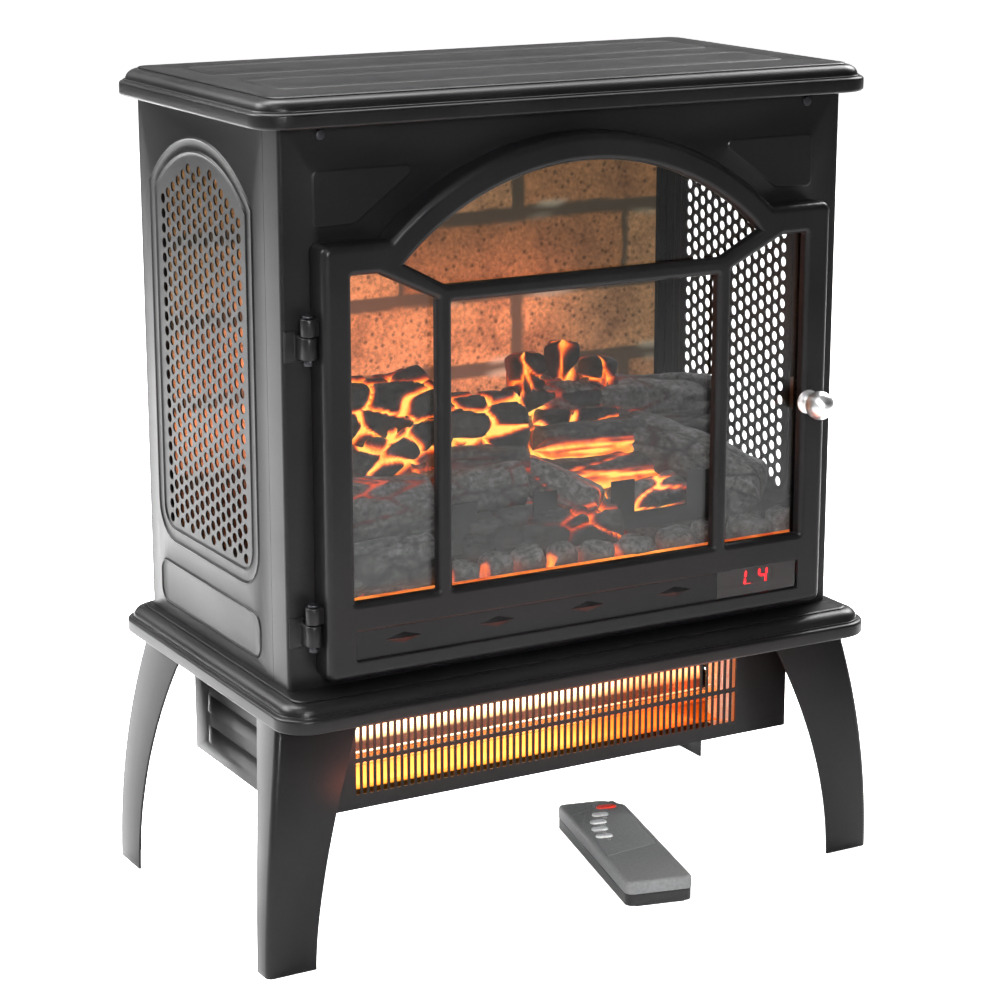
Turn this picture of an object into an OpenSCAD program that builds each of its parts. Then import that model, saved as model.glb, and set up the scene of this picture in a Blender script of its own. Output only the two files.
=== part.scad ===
// Freestanding electric stove heater: a sheet-steel cabinet on four legs, with an arched glass
// door, a moulded log bed, an infrared heater box slung under the base, and a handset.
// Millimetres, +Z up. The origin is on the floor, in the middle of the overall box.

/* [Cabinet] */
// Height from the floor to the top plate's upper face
stove_h = 600; // [540:1:720]
// Width across the side panels
cab_w = 447; // [400:1:540]
// Depth from the fascia's face to the back panel's face
cab_d = 236; // [215:1:300]
// Height of the base plate's upper face above the floor
deck_z = 197; // [180:1:240]
// Thickness of the cabinet's sheet steel
sheet_t = 1.2; // [0.8:0.1:2]
// How far the fascia wraps round onto each side
wrap_d = 24; // [16:1:32]

/* [Plates] */
// Height of the top and base plates' moulded edges
plate_t = 20; // [16:0.5:26]
// Width of the moulding from the plate's edge to its flat
mould_w = 14; // [10:0.5:18]
// Thickness of the plates' own sheet
plate_sheet_t = 1.6; // [1.2:0.1:2.5]
// How far both plates stand out past the side panels
plate_over_side = 19; // [14:0.5:26]
// How far the top plate stands out in front of the fascia
top_over_front = 18; // [12:0.5:30]
// How far the top plate stands out behind the back panel
top_over_back = 7; // [2:0.5:20]
// How far the base plate stands out in front of the fascia
base_over_front = 38; // [30:0.5:50]
// How far the base plate stands out behind the back panel
base_over_back = 26; // [18:0.5:40]
// Corner radius of the plates
plate_r = 24; // [18:1:32]

/* [Legs] */
// Thickness of the legs' sheet
leg_t = 2; // [1.5:0.1:3]
// Width of the broad flange at the foot
leg_broad_foot = 37.5; // [30:0.5:46]
// Width of the broad flange at the top
leg_broad_top = 64; // [50:0.5:72]
// Width of the narrow flange at the foot
leg_narrow_foot = 17; // [12:0.5:24]
// Width of the narrow flange at the top
leg_narrow_top = 34; // [24:0.5:40]
// How far the leg's corner sits inside the base plate's edge at the top
leg_inset = 8; // [5:0.5:10]
// How far the foot splays out from the top, to the side
splay_side = 19.5; // [8:0.5:26]
// How far the foot splays out from the top, to the front or the back
splay_front = 18; // [8:0.5:26]

/* [Door] */
// Gap between the side panel's face and the door's edge
door_side_gap = 20.5; // [17:0.5:28]
// Gap under the door
door_under_gap = 8; // [5:0.5:14]
// Gap between the door's arch and the top plate
door_over_gap = 14.5; // [8:0.5:24]
// Depth of the door's frame
door_t = 20; // [16:0.5:26]
// Gap between the door's back and the fascia
door_gap = 2; // [1.5:0.1:4]
// Wall of the door's pressed frame
door_wall = 2; // [1.2:0.1:3]
// Height of the arch above the door's shoulders
arch_rise = 62; // [40:1:80]
// Width of each flat shoulder beside the arch
shoulder_w = 50; // [30:1:70]
// Width of the arched rim
arch_rim = 19; // [14:0.5:26]
// Width of the stiles
stile_w = 21; // [16:0.5:28]
// Height of the bottom rail
rail_h = 54; // [48:1:64]
// Width of the glazing bars
bar_w = 11; // [8:0.5:16]
// Width of each side light, from the stile to its glazing bar
side_light_w = 64; // [40:1:80]
// Thickness of the glass
glass_t = 3; // [2.5:0.1:4]
// How far the door swings open, in degrees
door_swing = 110; // [90:1:120]

/* [Hinges and knob] */
// Radius of the hinge knuckles
knuckle_r = 5.5; // [4.5:0.1:6.5]
// Radius of the hinge pins
pin_r = 2.5; // [2:0.1:3]
// Radial clearance of every running fit
run_fit = 0.06; // [0.03:0.01:0.1]
// Height of each door knuckle
knuckle_h = 12; // [9:0.5:18]
// Radius of the knob's ball
knob_r = 10.5; // [8:0.5:14]
// How far the knob stands out of the door's face
knob_out = 26; // [20:0.5:36]

/* [Side mesh] */
// Diameter of the punched holes
hole_d = 7.4; // [5:0.1:8.5]
// Distance between neighbouring holes
hole_pitch = 10.65; // [9.5:0.05:14]
// Half width of the punched field
mesh_half = 69; // [50:1:80]
// Radius of the punched field's arched top
mesh_arch_r = 100; // [85:1:140]

/* [Heater box] */
// Depth of the box from front to back
heater_d = 177; // [150:1:200]
// Height of the box under the base plate
heater_h = 85; // [76:1:110]
// How far the box's front sits behind the base plate's front edge
heater_setback = 63; // [50:1:75]
// How far the box's sides sit in from the side panels
heater_side_gap = 16.5; // [12:0.5:30]
// Width of the grille's slotted field
grille_w = 324; // [240:1:340]
// Number of slots across the grille
grille_slots = 60; // [30:1:64]
// Width of each slot
slot_w = 3.4; // [2.4:0.1:3.6]
// Height of each slot
slot_h = 24; // [18:0.5:28]
// Radius of the quartz tubes
tube_r = 5.5; // [4.5:0.1:7]

/* [Flame spindle] */
// Radius of the spindle's sweep
spindle_r = 20; // [14:0.5:24]
// Number of reflector tabs along the spindle
spindle_tabs = 14; // [6:1:20]

/* [Controls] */
// Travel of each push button
button_travel = 1.2; // [0.6:0.1:1.5]
// Radius of the panel's buttons
button_r = 4.5; // [3.5:0.1:5.5]
// Distance between the panel's buttons
button_pitch = 30; // [22:1:36]

/* [Handset] */
// Length of the handset
handset_l = 168; // [120:1:180]
// Width of the handset
handset_w = 52; // [38:1:58]
// Thickness of the handset
handset_t = 19; // [15:0.5:24]

/* [Hidden] */
$fn = 48;

black = [0.13, 0.13, 0.135];
charcoal = [0.25, 0.25, 0.26];

// ---- overall box: the knob's tip is the front, the base plate's edge is the back
base_w = cab_w + 2 * plate_over_side;
base_d = base_over_front + cab_d + base_over_back;
knob_past = door_gap + door_t + knob_out - base_over_front;
base_front = -base_d / 2 + knob_past / 2;
base_back = base_front + base_d;
cab_front = base_front + base_over_front;
cab_back = cab_front + cab_d;
side_x = cab_w / 2;
top_z = stove_h - plate_t;
deck_under = deck_z - plate_t;
top_front = cab_front - top_over_front;
top_back = cab_back + top_over_back;
fascia_back = cab_front + sheet_t;
seam_y = cab_front + wrap_d;
seam_gap = 0.4;
rest_gap = 0.3;
flange_w = 10;

// ---- door
door_half = cab_w / 2 - door_side_gap;
door_front = cab_front - door_gap - door_t;
door_back = cab_front - door_gap;
door_low = deck_z + door_under_gap;
door_top = top_z - door_over_gap;
shoulder_z = door_top - arch_rise;
arch_half = door_half - shoulder_w;
arch_r = (arch_half * arch_half + arch_rise * arch_rise) / (2 * arch_rise);
arch_z = door_top - arch_r;
light_low = door_low + rail_h;
light_top = shoulder_z - stile_w;
light_out = door_half - stile_w;
light_in = light_out - side_light_w;
bar_x = light_in - bar_w / 2;
diag_rise = 16;
transom_top = light_top - 12;
transom_low = transom_top - bar_w - 1;
rim_d = 8;
face_t = 2.5;
glass_front = door_front + rim_d;
glass_back = glass_front + glass_t;
glass_inset = 10;
strip_half = light_out;
strip_low = door_low + 13;
strip_h = 21;
window_w = 70;
window_x = strip_half - window_w;
strip_lap = 3;
insert_t = 2;
mouth_inset = 14;
mouth_low = light_low - 7;

// ---- hinges and knob
knuckle_gap = 0.6;
hinge_x = -door_half - knuckle_r - 0.7;
hinge_y = cab_front - 11;
hinge_zs = [door_low + 25.5, door_low + 223];
fixed_h = 15;
pin_drop = 4;
knob_x = door_half - stile_w / 2 - 6.5;
knob_z = door_low + 153.5;
knob_neck_r = 6;
screw_r = 2;

// ---- heater box
heater_front = base_front + heater_setback;
heater_back = heater_front + heater_d;
heater_half = side_x - heater_side_gap;
heater_low = deck_under - heater_h;
slot_rows = [deck_under - 47.5, deck_under - 74.5];
slot_pitch = grille_w / grille_slots;
tube_zs = [deck_under - 28, deck_under - 57];
tube_y = heater_front + 24;
tube_half = grille_w / 2;
cap_l = 14;
wheel_r = 21;
wheel_y = heater_front + 118;
wheel_z = heater_low + 42;
wheel_half = 105;
shaft_r = 3;
blades = 18;

// ---- firebox
panel_back = cab_back - sheet_t;
backdrop_y = panel_back - 14;
backdrop_t = 3;
bed_front = cab_front + 10;
bed_back = cab_front + 150;
bed_top = deck_z + 42;
bed_half = side_x - sheet_t - 18;
spindle_y = bed_back + 26;
spindle_z = deck_z + 30;
spindle_half = 165;
spindle_shaft_r = 3;

// ---- controls on the fascia's lower strip
panel_z = strip_low + strip_h / 2;
button_face = cab_front - 3.4;
flange_t = 1.2;
board_y = fascia_back + 6;
board_t = 1.6;

// ---- legs
leg_corner_x = base_w / 2 - leg_inset;
leg_corner_y = base_d / 2 - leg_inset - 26;
leg_steps = 10;
mid_y = (base_front + base_back) / 2;
tab_t = leg_t;
tab_d = 24;
pad_t = 3;
pad_w = 66;
pad_d = 58;
leg_bolt_r = 2.5;

// ---- handset, lying on the floor with its keys up
handset_x = 72;
handset_y = -66;
handset_turn = -13;
shell_t = 1.6;
key_l = 13;
key_w = 6.6;
key_pitch = 14.5;
key_sweep = 90;
key_side = 12.2;
key_start = 17;
key_travel = 0.8;
key_fit = 0.3;
cover_l = 52;
cover_w = handset_w - 14;
board_z = handset_t - shell_t - 1.5 - key_travel - 1.5;

// ================= shared shapes =================

// A flat outline in (x, z), made a slab from y to y + t
module front_slab(y, t) {
    translate([0, y + t, 0]) rotate([90, 0, 0]) linear_extrude(t) children();
}

// A flat outline in (y, z), made a slab from x to x + t
module side_slab(x, t) {
    translate([x, 0, 0]) rotate([90, 0, 90]) linear_extrude(t) children();
}

module box(low, high) {
    translate(low) cube(high - low);
}

module rod_x(x0, x1, y, z, r) {
    translate([x0, y, z]) rotate([0, 90, 0]) cylinder(h = x1 - x0, r = r);
}

module rod_y(x, y0, y1, z, r) {
    translate([x, y0, z]) rotate([-90, 0, 0]) cylinder(h = y1 - y0, r = r);
}

// A rectangle between two corners, with round corners of radius r
module soft_rect(low, high, r) {
    translate([low[0] + r, low[1]]) square([high[0] - low[0] - 2 * r, high[1] - low[1]]);
    translate([low[0], low[1] + r]) square([high[0] - low[0], high[1] - low[1] - 2 * r]);
    for (x = [low[0] + r, high[0] - r], y = [low[1] + r, high[1] - r])
        translate([x, y]) circle(r);
}

module soft_ring(low, high, r, w) {
    difference() {
        soft_rect(low, high, r);
        soft_rect(low + [w, w], high - [w, w], r - w);
    }
}

// A rectangle with a segmental arch on top, centred on x = 0
module arched(half, low, shoulder, r) {
    centre_z = shoulder - sqrt(r * r - half * half);
    translate([-half, low]) square([2 * half, shoulder - low]);
    intersection() {
        translate([0, centre_z]) circle(r);
        translate([-half, shoulder - 1]) square([2 * half, r]);
    }
}

// Cross-section of the plates' edge: rounded lip below, a bead, then a cove up to the flat.
// u runs outwards and ends at reach; v runs up from the plate's underside to t.
function moulding(reach, t) =
    let (lip = t * 0.52, nose = 2, cove_r = mould_w - 4, cove_h = t - lip - 1.5)
    concat(
        [[0, 0]],
        [for (a = [-90 : 22.5 : 0]) [reach - nose + nose * cos(a), nose + nose * sin(a)]],
        [for (a = [0 : 22.5 : 90]) [reach - nose + nose * cos(a), lip - nose + nose * sin(a)]],
        [for (a = [270 : -18 : 180])
            [reach - 4 + cove_r * cos(a), t - 0.6 + cove_h * sin(a)]],
        [[reach - mould_w, t], [0, t]]
    );

// A hollow pressed plate with a moulded edge, centred on x = 0, its underside at z = 0
module moulded_plate(w, front, back, t) {
    d = back - front;
    cy = (front + back) / 2;
    difference() {
        union() {
            translate([-w / 2 + plate_r, front + plate_r, 0])
                cube([w - 2 * plate_r, d - 2 * plate_r, t]);
            for (s = [-1, 1]) {
                translate([s * (w / 2 - plate_r), cy, 0])
                    rotate([90, 0, s > 0 ? 0 : 180])
                        translate([0, 0, -(d / 2 - plate_r)])
                            linear_extrude(d - 2 * plate_r) polygon(moulding(plate_r, t));
                translate([0, cy + s * (d / 2 - plate_r), 0])
                    rotate([90, 0, s > 0 ? 90 : -90])
                        translate([0, 0, -(w / 2 - plate_r)])
                            linear_extrude(w - 2 * plate_r) polygon(moulding(plate_r, t));
            }
            for (k = [0 : 3]) {
                sx = k == 0 || k == 3 ? 1 : -1;
                sy = k < 2 ? 1 : -1;
                translate([sx * (w / 2 - plate_r), cy + sy * (d / 2 - plate_r), 0])
                    rotate([0, 0, 90 * k])
                        rotate_extrude(angle = 90) polygon(moulding(plate_r, t));
            }
        }
        hollow(w, front, back, plate_sheet_t, t * 0.52 - plate_sheet_t, 1.5 * plate_sheet_t);
        hollow(w, front, back, plate_sheet_t, t - plate_sheet_t, mould_w + 2);
        hollow(w, front, back, -1, plate_sheet_t + 0.1, mould_w + flange_w);
    }
}

// Room inside a plate between two heights, inset from its edge
module hollow(w, front, back, z0, z1, inset) {
    translate([0, 0, z0]) linear_extrude(z1 - z0)
        soft_rect([-w / 2 + inset, front + inset], [w / 2 - inset, back - inset],
                  max(plate_r - inset, 3));
}

// ================= cabinet =================

module top_plate() {
    color(black) difference() {
        translate([0, 0, top_z])
            moulded_plate(base_w, top_front, top_back, plate_t);
        for (y = [top_front + 56, top_front + 156])
            translate([0, 0, stove_h - 0.6]) linear_extrude(1)
                soft_ring([-base_w / 2 + 36, y], [base_w / 2 - 36, y + 64], 10, 3);
    }
}

// The pads in the base plate's corners that the legs bolt up to
module leg_pads() {
    for (sx = [-1, 1], sy = [-1, 1])
        translate([sx * (base_w / 2 - mould_w - 1 - pad_w / 2),
                   mid_y + sy * (base_d / 2 - mould_w - 1 - pad_d / 2), pad_t / 2])
            cube([pad_w, pad_d, pad_t], center = true);
}

// Places of the two bolts in each leg's tab
leg_bolts = [for (sx = [-1, 1], sy = [-1, 1], k = [0, 1])
    [sx * (leg_corner_x - 20 - 26 * k), mid_y + sy * (leg_corner_y - 16)]];

module base_plate() {
    color(black) translate([0, 0, deck_under]) difference() {
        union() {
            moulded_plate(base_w, base_front, base_back, plate_t);
            leg_pads();
        }
        for (p = leg_bolts)
            translate([p[0], p[1], -1]) cylinder(h = pad_t + 2, r = leg_bolt_r + 0.1);
    }
}

// Outline of the door, smaller all round by inset
module door_outline(inset) {
    translate([-door_half + inset, door_low + inset])
        square([2 * (door_half - inset), shoulder_z - door_low - 2 * inset]);
    intersection() {
        translate([0, arch_z]) circle(arch_r - inset);
        translate([-arch_half, shoulder_z - inset - 2]) square([2 * arch_half, arch_r]);
    }
}

// The raised pads in the fascia's upper corners: a kite that follows the arch
module corner_pads() {
    out_x = side_x - 23.5;
    for (s = [-1, 1])
        polygon([[s * out_x, top_z - 29], [s * (out_x - 83), top_z - 29],
                 [s * (out_x - 31.5), shoulder_z + 9.5], [s * out_x, shoulder_z + 8.5]]);
}

button_xs = [for (k = [0 : 3]) (k - 1.5) * button_pitch - 20];
display_x = window_x + window_w / 2;
display_half = window_w / 2 - 7;

module front_fascia() {
    color(black) {
        difference() {
            front_slab(cab_front, sheet_t) translate([-side_x, deck_z])
                square([cab_w, top_z - deck_z]);
            front_slab(cab_front - 1, sheet_t + 2) intersection() {
                door_outline(mouth_inset);
                translate([-side_x, mouth_low]) square([cab_w, stove_h]);
            }
            for (x = button_xs) rod_y(x, cab_front - 1, fascia_back + 1, panel_z, button_r + rest_gap);
            box([display_x - display_half - rest_gap, cab_front - 1, panel_z - 11.8],
                [display_x + display_half + rest_gap, fascia_back + 1, panel_z + 11.8]);
            box([catch_x - catch_half - rest_gap, cab_front - 1, knob_z - 12 - rest_gap],
                [catch_x + catch_half + rest_gap, fascia_back + 1, knob_z + 12 + rest_gap]);
            for (s = [-1, 1]) rod_y(s * fascia_screw_x, cab_front - 1, fascia_back + 1,
                                    fascia_screw_z, screw_r + 0.1);
        }
        front_slab(cab_front - 0.8, 0.8) corner_pads();
        for (s = [-1, 1])
            side_slab(s > 0 ? side_x - sheet_t : -side_x, sheet_t)
                translate([fascia_back, deck_z]) square([wrap_d - sheet_t, top_z - deck_z]);
    }
}

catch_x = door_half - 6;
catch_half = 5.5;
fascia_screw_x = side_x - 30;
fascia_screw_z = top_z - 6;

// Centres of the punched holes, in rows set half a pitch apart
mesh_y = (seam_y + cab_back) / 2;
mesh_low = deck_z + 78;
mesh_shoulder = top_z - 67;
column_step = hole_pitch * cos(30);
columns = floor(2 * mesh_half / column_step);
mesh_first = -columns * column_step / 2;
function mesh_edge(u) = mesh_shoulder - sqrt(mesh_arch_r * mesh_arch_r - mesh_half * mesh_half)
    + sqrt(mesh_arch_r * mesh_arch_r - u * u);
mesh_rows = ceil((top_z - mesh_low) / hole_pitch);
mesh_holes = [for (c = [0 : columns], r = [0 : mesh_rows])
    let (u = mesh_first + c * column_step, z = mesh_low + (r + (c % 2) / 2) * hole_pitch)
    if (z <= mesh_edge(u)) [u, z]];

// Raised lines round the punched field and the panel below it, outside the sheet by emboss_h
emboss_h = 1;
module mesh_ridges() {
    for (grow = [9.5, 19]) difference() {
        arched(mesh_half + grow, mesh_low - grow, mesh_shoulder, mesh_arch_r + grow);
        arched(mesh_half + grow - 2.5, mesh_low - grow + 2.5, mesh_shoulder, mesh_arch_r + grow - 2.5);
    }
    soft_ring([-mesh_half - 19, deck_z + 9], [mesh_half + 19, deck_z + 44], 12, 2.5);
}

// A side panel, drawn for the right; its joggled tongue laps behind the fascia's wrap
module side_panel() {
    tongue_d = 14;
    difference() {
        side_slab(side_x - sheet_t, sheet_t)
            translate([seam_y + seam_gap, deck_z])
                square([cab_back - seam_y - seam_gap, top_z - deck_z]);
        side_slab(side_x - sheet_t - 1, sheet_t + 2) translate([mesh_y, 0])
            for (p = mesh_holes) translate(p) circle(d = hole_d, $fn = 16);
    }
    side_slab(side_x, emboss_h) translate([mesh_y, 0]) mesh_ridges();
    box([side_x - 2 * sheet_t - 0.2, seam_y - tongue_d, deck_z],
        [side_x - sheet_t - 0.2, seam_y + 4, top_z]);
    box([side_x - 2 * sheet_t - 0.2, seam_y + 1, deck_z],
        [side_x - sheet_t + 0.5, seam_y + 4, top_z]);
}

module right_side_panel() {
    color(black) side_panel();
}

module left_side_panel() {
    color(black) mirror([1, 0, 0]) side_panel();
}

rocker_x = -150;
rocker_z = deck_z + 50;
gland_x = 150;
back_screws = [for (sx = [-1, 1], z = [deck_z + 30, (deck_z + top_z) / 2, top_z - 30])
    [sx * (side_x - 14), z]];

module back_panel() {
    half = side_x - sheet_t - 0.2;
    color(black) difference() {
        union() {
            front_slab(panel_back, sheet_t) translate([-half, deck_z])
                square([2 * half, top_z - deck_z]);
            for (s = [-1, 1])
                side_slab(s > 0 ? half - sheet_t : -half, sheet_t)
                    translate([panel_back - 9, deck_z]) square([9.5, top_z - deck_z]);
        }
        for (x = [-5 : 5], z = [0 : 2])
            front_slab(panel_back - 1, sheet_t + 2)
                soft_rect([x * 24 - 8, top_z - 60 - z * 14], [x * 24 + 8, top_z - 55 - z * 14], 2.4);
        front_slab(panel_back - 1, sheet_t + 2)
            translate([rocker_x - 14, rocker_z - 10]) square([28, 20]);
        rod_y(gland_x, panel_back - 1, cab_back + 1, rocker_z, 8);
        for (p = back_screws) rod_y(p[0], panel_back - 1, cab_back + 1, p[1], screw_r + 0.1);
    }
}

// ================= legs =================

// How far the leg has curved in from its foot at height z, and how wide its flanges are
function leg_curve(z, power) = pow(z / deck_under, power);
function leg_x(z) = leg_corner_x + splay_side * (1 - leg_curve(z, 1.85));
function leg_y(z) = leg_corner_y + splay_front * (1 - leg_curve(z, 2.6));
function broad_w(z) = leg_broad_foot + (leg_broad_top - leg_broad_foot) * leg_curve(z, 1.7);
function narrow_w(z) = leg_narrow_foot + (leg_narrow_top - leg_narrow_foot) * leg_curve(z, 1.7);
leg_zs = [for (k = [0 : leg_steps]) deck_under * k / leg_steps];
leg_zs_down = [for (k = [leg_steps : -1 : 0]) deck_under * k / leg_steps];

// One pressed leg: two curved flanges on a corner at (+x, +y), bent in a curve down to the foot.
// broad_on_front puts the broad flange on the front or back face, and the narrow one at the side.
module leg_shape(broad_on_front) {
    reach = 400;
    front_w = function (z) broad_on_front ? broad_w(z) : narrow_w(z);
    side_w = function (z) broad_on_front ? narrow_w(z) : broad_w(z);
    intersection() {
        side_slab(0, reach) polygon(concat([for (z = leg_zs) [leg_y(z), z]],
                                           [for (z = leg_zs_down) [leg_y(z) - leg_t, z]]));
        front_slab(0, reach) polygon(concat([for (z = leg_zs) [leg_x(z), z]],
                                            [for (z = leg_zs_down) [leg_x(z) - front_w(z), z]]));
    }
    intersection() {
        front_slab(0, reach) polygon(concat([for (z = leg_zs) [leg_x(z), z]],
                                            [for (z = leg_zs_down) [leg_x(z) - leg_t, z]]));
        side_slab(0, reach) polygon(concat([for (z = leg_zs) [leg_y(z), z]],
                                           [for (z = leg_zs_down) [leg_y(z) - side_w(z), z]]));
    }
    difference() {
        box([leg_corner_x - 58, leg_corner_y - tab_d, deck_under - tab_t],
            [leg_corner_x - leg_t / 2, leg_corner_y - leg_t / 2, deck_under]);
        for (k = [0, 1])
            translate([leg_corner_x - 20 - 26 * k, leg_corner_y - 16, deck_under - tab_t - 1])
                cylinder(h = tab_t + 2, r = leg_bolt_r + 0.1);
    }
}

module leg(right, rear) {
    color(black) translate([0, mid_y, 0])
        mirror([right ? 0 : 1, 0, 0]) mirror([0, rear ? 0 : 1, 0]) leg_shape(!rear);
}

module leg_front_left() { leg(false, false); }
module leg_front_right() { leg(true, false); }
module leg_rear_left() { leg(false, true); }
module leg_rear_right() { leg(true, true); }

module leg_screws() {
    color("silver") for (p = leg_bolts) translate([p[0], p[1], 0]) {
        translate([0, 0, deck_under - tab_t - 3]) cylinder(h = 3, r = 4.5);
        translate([0, 0, deck_under - tab_t - 3]) cylinder(h = tab_t + pad_t + 6, r = leg_bolt_r);
    }
}

module case_screws() {
    color("silver") {
        for (s = [-1, 1]) {
            rod_y(s * fascia_screw_x, cab_front - 1.6, cab_front, fascia_screw_z, 3.4);
            rod_y(s * fascia_screw_x, cab_front - 1, fascia_back + 6, fascia_screw_z, screw_r);
        }
        for (p = back_screws) {
            rod_y(p[0], cab_back, cab_back + 1.8, p[1], 3.6);
            rod_y(p[0], panel_back - 5, cab_back + 1, p[1], screw_r);
        }
    }
}

// ================= heater box =================

module heater_housing() {
    color(black) difference() {
        box([-heater_half, heater_front + sheet_t, heater_low], [heater_half, heater_back, deck_under]);
        box([-heater_half + sheet_t, heater_front - 1, heater_low + sheet_t],
            [heater_half - sheet_t, heater_back - sheet_t, deck_under + 1]);
        for (k = [0 : 2])
            box([-heater_half - 1, heater_front + 30, heater_low + 14 + 24 * k],
                [heater_half + 1, heater_back - 26, heater_low + 18 + 24 * k]);
        for (k = [-6 : 6])
            box([k * 26 - 9, heater_back - sheet_t - 1, wheel_z - 6],
                [k * 26 + 9, heater_back + 1, wheel_z - 1]);
    }
}

module heater_grille() {
    color(black) front_slab(heater_front, sheet_t) difference() {
        translate([-heater_half, heater_low]) square([2 * heater_half, heater_h]);
        for (z = slot_rows, k = [0 : grille_slots - 1])
            translate([(k + 0.5) * slot_pitch - grille_w / 2 - slot_w / 2, z])
                square([slot_w, slot_h]);
    }
}

reflector_r = 36;
reflector_z = (tube_zs[0] + tube_zs[1]) / 2;
module heater_reflector() {
    color("silver") side_slab(-tube_half - 2, 2 * tube_half + 4) intersection() {
        difference() {
            translate([tube_y - 4, reflector_z]) circle(reflector_r);
            translate([tube_y - 4, reflector_z]) circle(reflector_r - 0.8);
        }
        translate([tube_y - 4, reflector_z - 40]) square([80, 80]);
    }
}

module quartz_tubes() {
    color([0.9, 0.85, 0.8, 0.5]) for (z = tube_zs) difference() {
        rod_x(-tube_half, tube_half, tube_y, z, tube_r);
        rod_x(-tube_half - 1, tube_half + 1, tube_y, z, tube_r - 1);
    }
}

module heating_coils() {
    color("orange") for (z = tube_zs) rod_x(-tube_half - 4, tube_half + 4, tube_y, z, 2.2);
}

// Ceramic blocks that hold both ends of each tube, standing on the box's floor
module tube_end_caps() {
    color("white") for (s = [-1, 1]) difference() {
        translate([s * (tube_half + 2), 0, 0])
            box([-cap_l / 2, tube_y - 9, heater_low + sheet_t], [cap_l / 2, tube_y + 9, tube_zs[0] + 9]);
        for (z = tube_zs) {
            rod_x(-tube_half, tube_half, tube_y, z, tube_r + 0.1);
            rod_x(-tube_half - 30, tube_half + 30, tube_y, z, 2.3);
        }
        reflector_relief();
    }
}

// Room for the reflector's edges where they pass the ceramic blocks
module reflector_relief() {
    side_slab(-tube_half - 2.3, 2 * tube_half + 4.6) difference() {
        translate([tube_y - 4, reflector_z]) circle(reflector_r + 0.3);
        translate([tube_y - 4, reflector_z]) circle(reflector_r - 1.1);
    }
}

motor_l = 34;
module blower_scroll() {
    out_r = wheel_r + 9;
    duct_l = 2 * wheel_half + 14;
    color(charcoal) difference() {
        union() {
            rod_x(-duct_l / 2, duct_l / 2, wheel_y, wheel_z, out_r);
            box([-duct_l / 2, wheel_y - out_r - 14, wheel_z - out_r], [duct_l / 2, wheel_y, wheel_z - 4]);
            for (s = [-1, 1])
                box([s * 80 - 8, wheel_y - 10, heater_low + sheet_t], [s * 80 + 8, wheel_y + 10, wheel_z - out_r + 1.5]);
        }
        rod_x(-duct_l / 2 + 2, duct_l / 2 - 2, wheel_y, wheel_z, out_r - 2);
        box([-duct_l / 2 + 2, wheel_y - out_r - 20, wheel_z - out_r + 2],
            [duct_l / 2 - 2, wheel_y, wheel_z - 6]);
        box([-duct_l / 2 + 2, wheel_y + 4, wheel_z - 4], [duct_l / 2 - 2, wheel_y + out_r + 2, wheel_z + 16]);
        rod_x(-duct_l, duct_l, wheel_y, wheel_z, shaft_r + run_fit);
    }
}

module blower_motor() {
    start = wheel_half + 7;
    color("dimgray") difference() {
        union() {
            rod_x(start, start + motor_l, wheel_y, wheel_z, 19);
            box([start + 4, wheel_y - 10, heater_low + sheet_t], [start + motor_l - 4, wheel_y + 10, wheel_z]);
        }
        rod_x(start - 1, start + motor_l - 8, wheel_y, wheel_z, shaft_r + run_fit);
    }
}

module blower_wheel() {
    color("silver") {
        for (x = [-wheel_half, -1, wheel_half - 2]) rod_x(x, x + 2, wheel_y, wheel_z, wheel_r);
        for (k = [0 : blades - 1])
            translate([-wheel_half + 1, wheel_y, wheel_z]) rotate([360 * k / blades, 0, 0])
                translate([0, -0.4, wheel_r - 8]) cube([2 * wheel_half - 2, 0.8, 7.4]);
        rod_x(-wheel_half - 9, wheel_half + 24, wheel_y, wheel_z, shaft_r);
    }
}

// ================= firebox =================

module brick_backdrop() {
    half = side_x - sheet_t - 14;
    color([0.6, 0.33, 0.2]) difference() {
        box([-half, backdrop_y, deck_z], [half, backdrop_y + backdrop_t, top_z - 8]);
        for (c = [0 : 6]) box([-half - 1, backdrop_y - 1, deck_z + 52 + c * 46],
                              [half + 1, backdrop_y + 1, deck_z + 56 + c * 46]);
        for (c = [0 : 7], k = [-2 : 2]) let (x = k * 104 + (c % 2) * 52)
            if (abs(x) < half - 8)
                box([x - 2, backdrop_y - 1, deck_z + 10 + c * 46], [x + 2, backdrop_y + 1, deck_z + 52 + c * 46]);
    }
}

// The hollow tray of moulded embers, with a rim of coals along its front
module ember_bed() {
    color([0.3, 0.16, 0.12]) {
        difference() {
            box([-bed_half, bed_front, deck_z], [bed_half, bed_back, bed_top]);
            box([-bed_half + 3, bed_front + 3, deck_z - 1], [bed_half - 3, bed_back - 3, bed_top - 3]);
        }
        for (k = [-7 : 7])
            translate([k * 26, bed_front + 13 + 3 * (k % 2), bed_top + 5])
                rotate([0, 12 * (k % 3), 0]) cube([22, 18, 18], center = true);
    }
}

// Each log: middle x, y and z, length, radius, turn about z, and tilt
logs = [[20, 104, 58, 300, 26, 4, 0], [-118, 84, 70, 120, 24, -30, 18],
        [66, 84, 92, 190, 19, -8, -9], [-52, 70, 74, 96, 22, 44, 10],
        [10, 112, 126, 176, 18, 3, 0], [-128, 58, 40, 110, 22, 12, 0],
        [96, 62, 42, 150, 20, -14, 0]];

module log_set() {
    color([0.28, 0.26, 0.25]) intersection() {
        for (g = logs)
            translate([g[0], bed_front + g[1], bed_top + g[2] - 20]) rotate([0, g[6], g[5]])
                rotate([0, 90, 0]) cylinder(h = g[3], r = g[4], center = true, $fn = 10);
        box([-bed_half, bed_front + 31, bed_top], [bed_half, bed_back, bed_top + 160]);
    }
}

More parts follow.
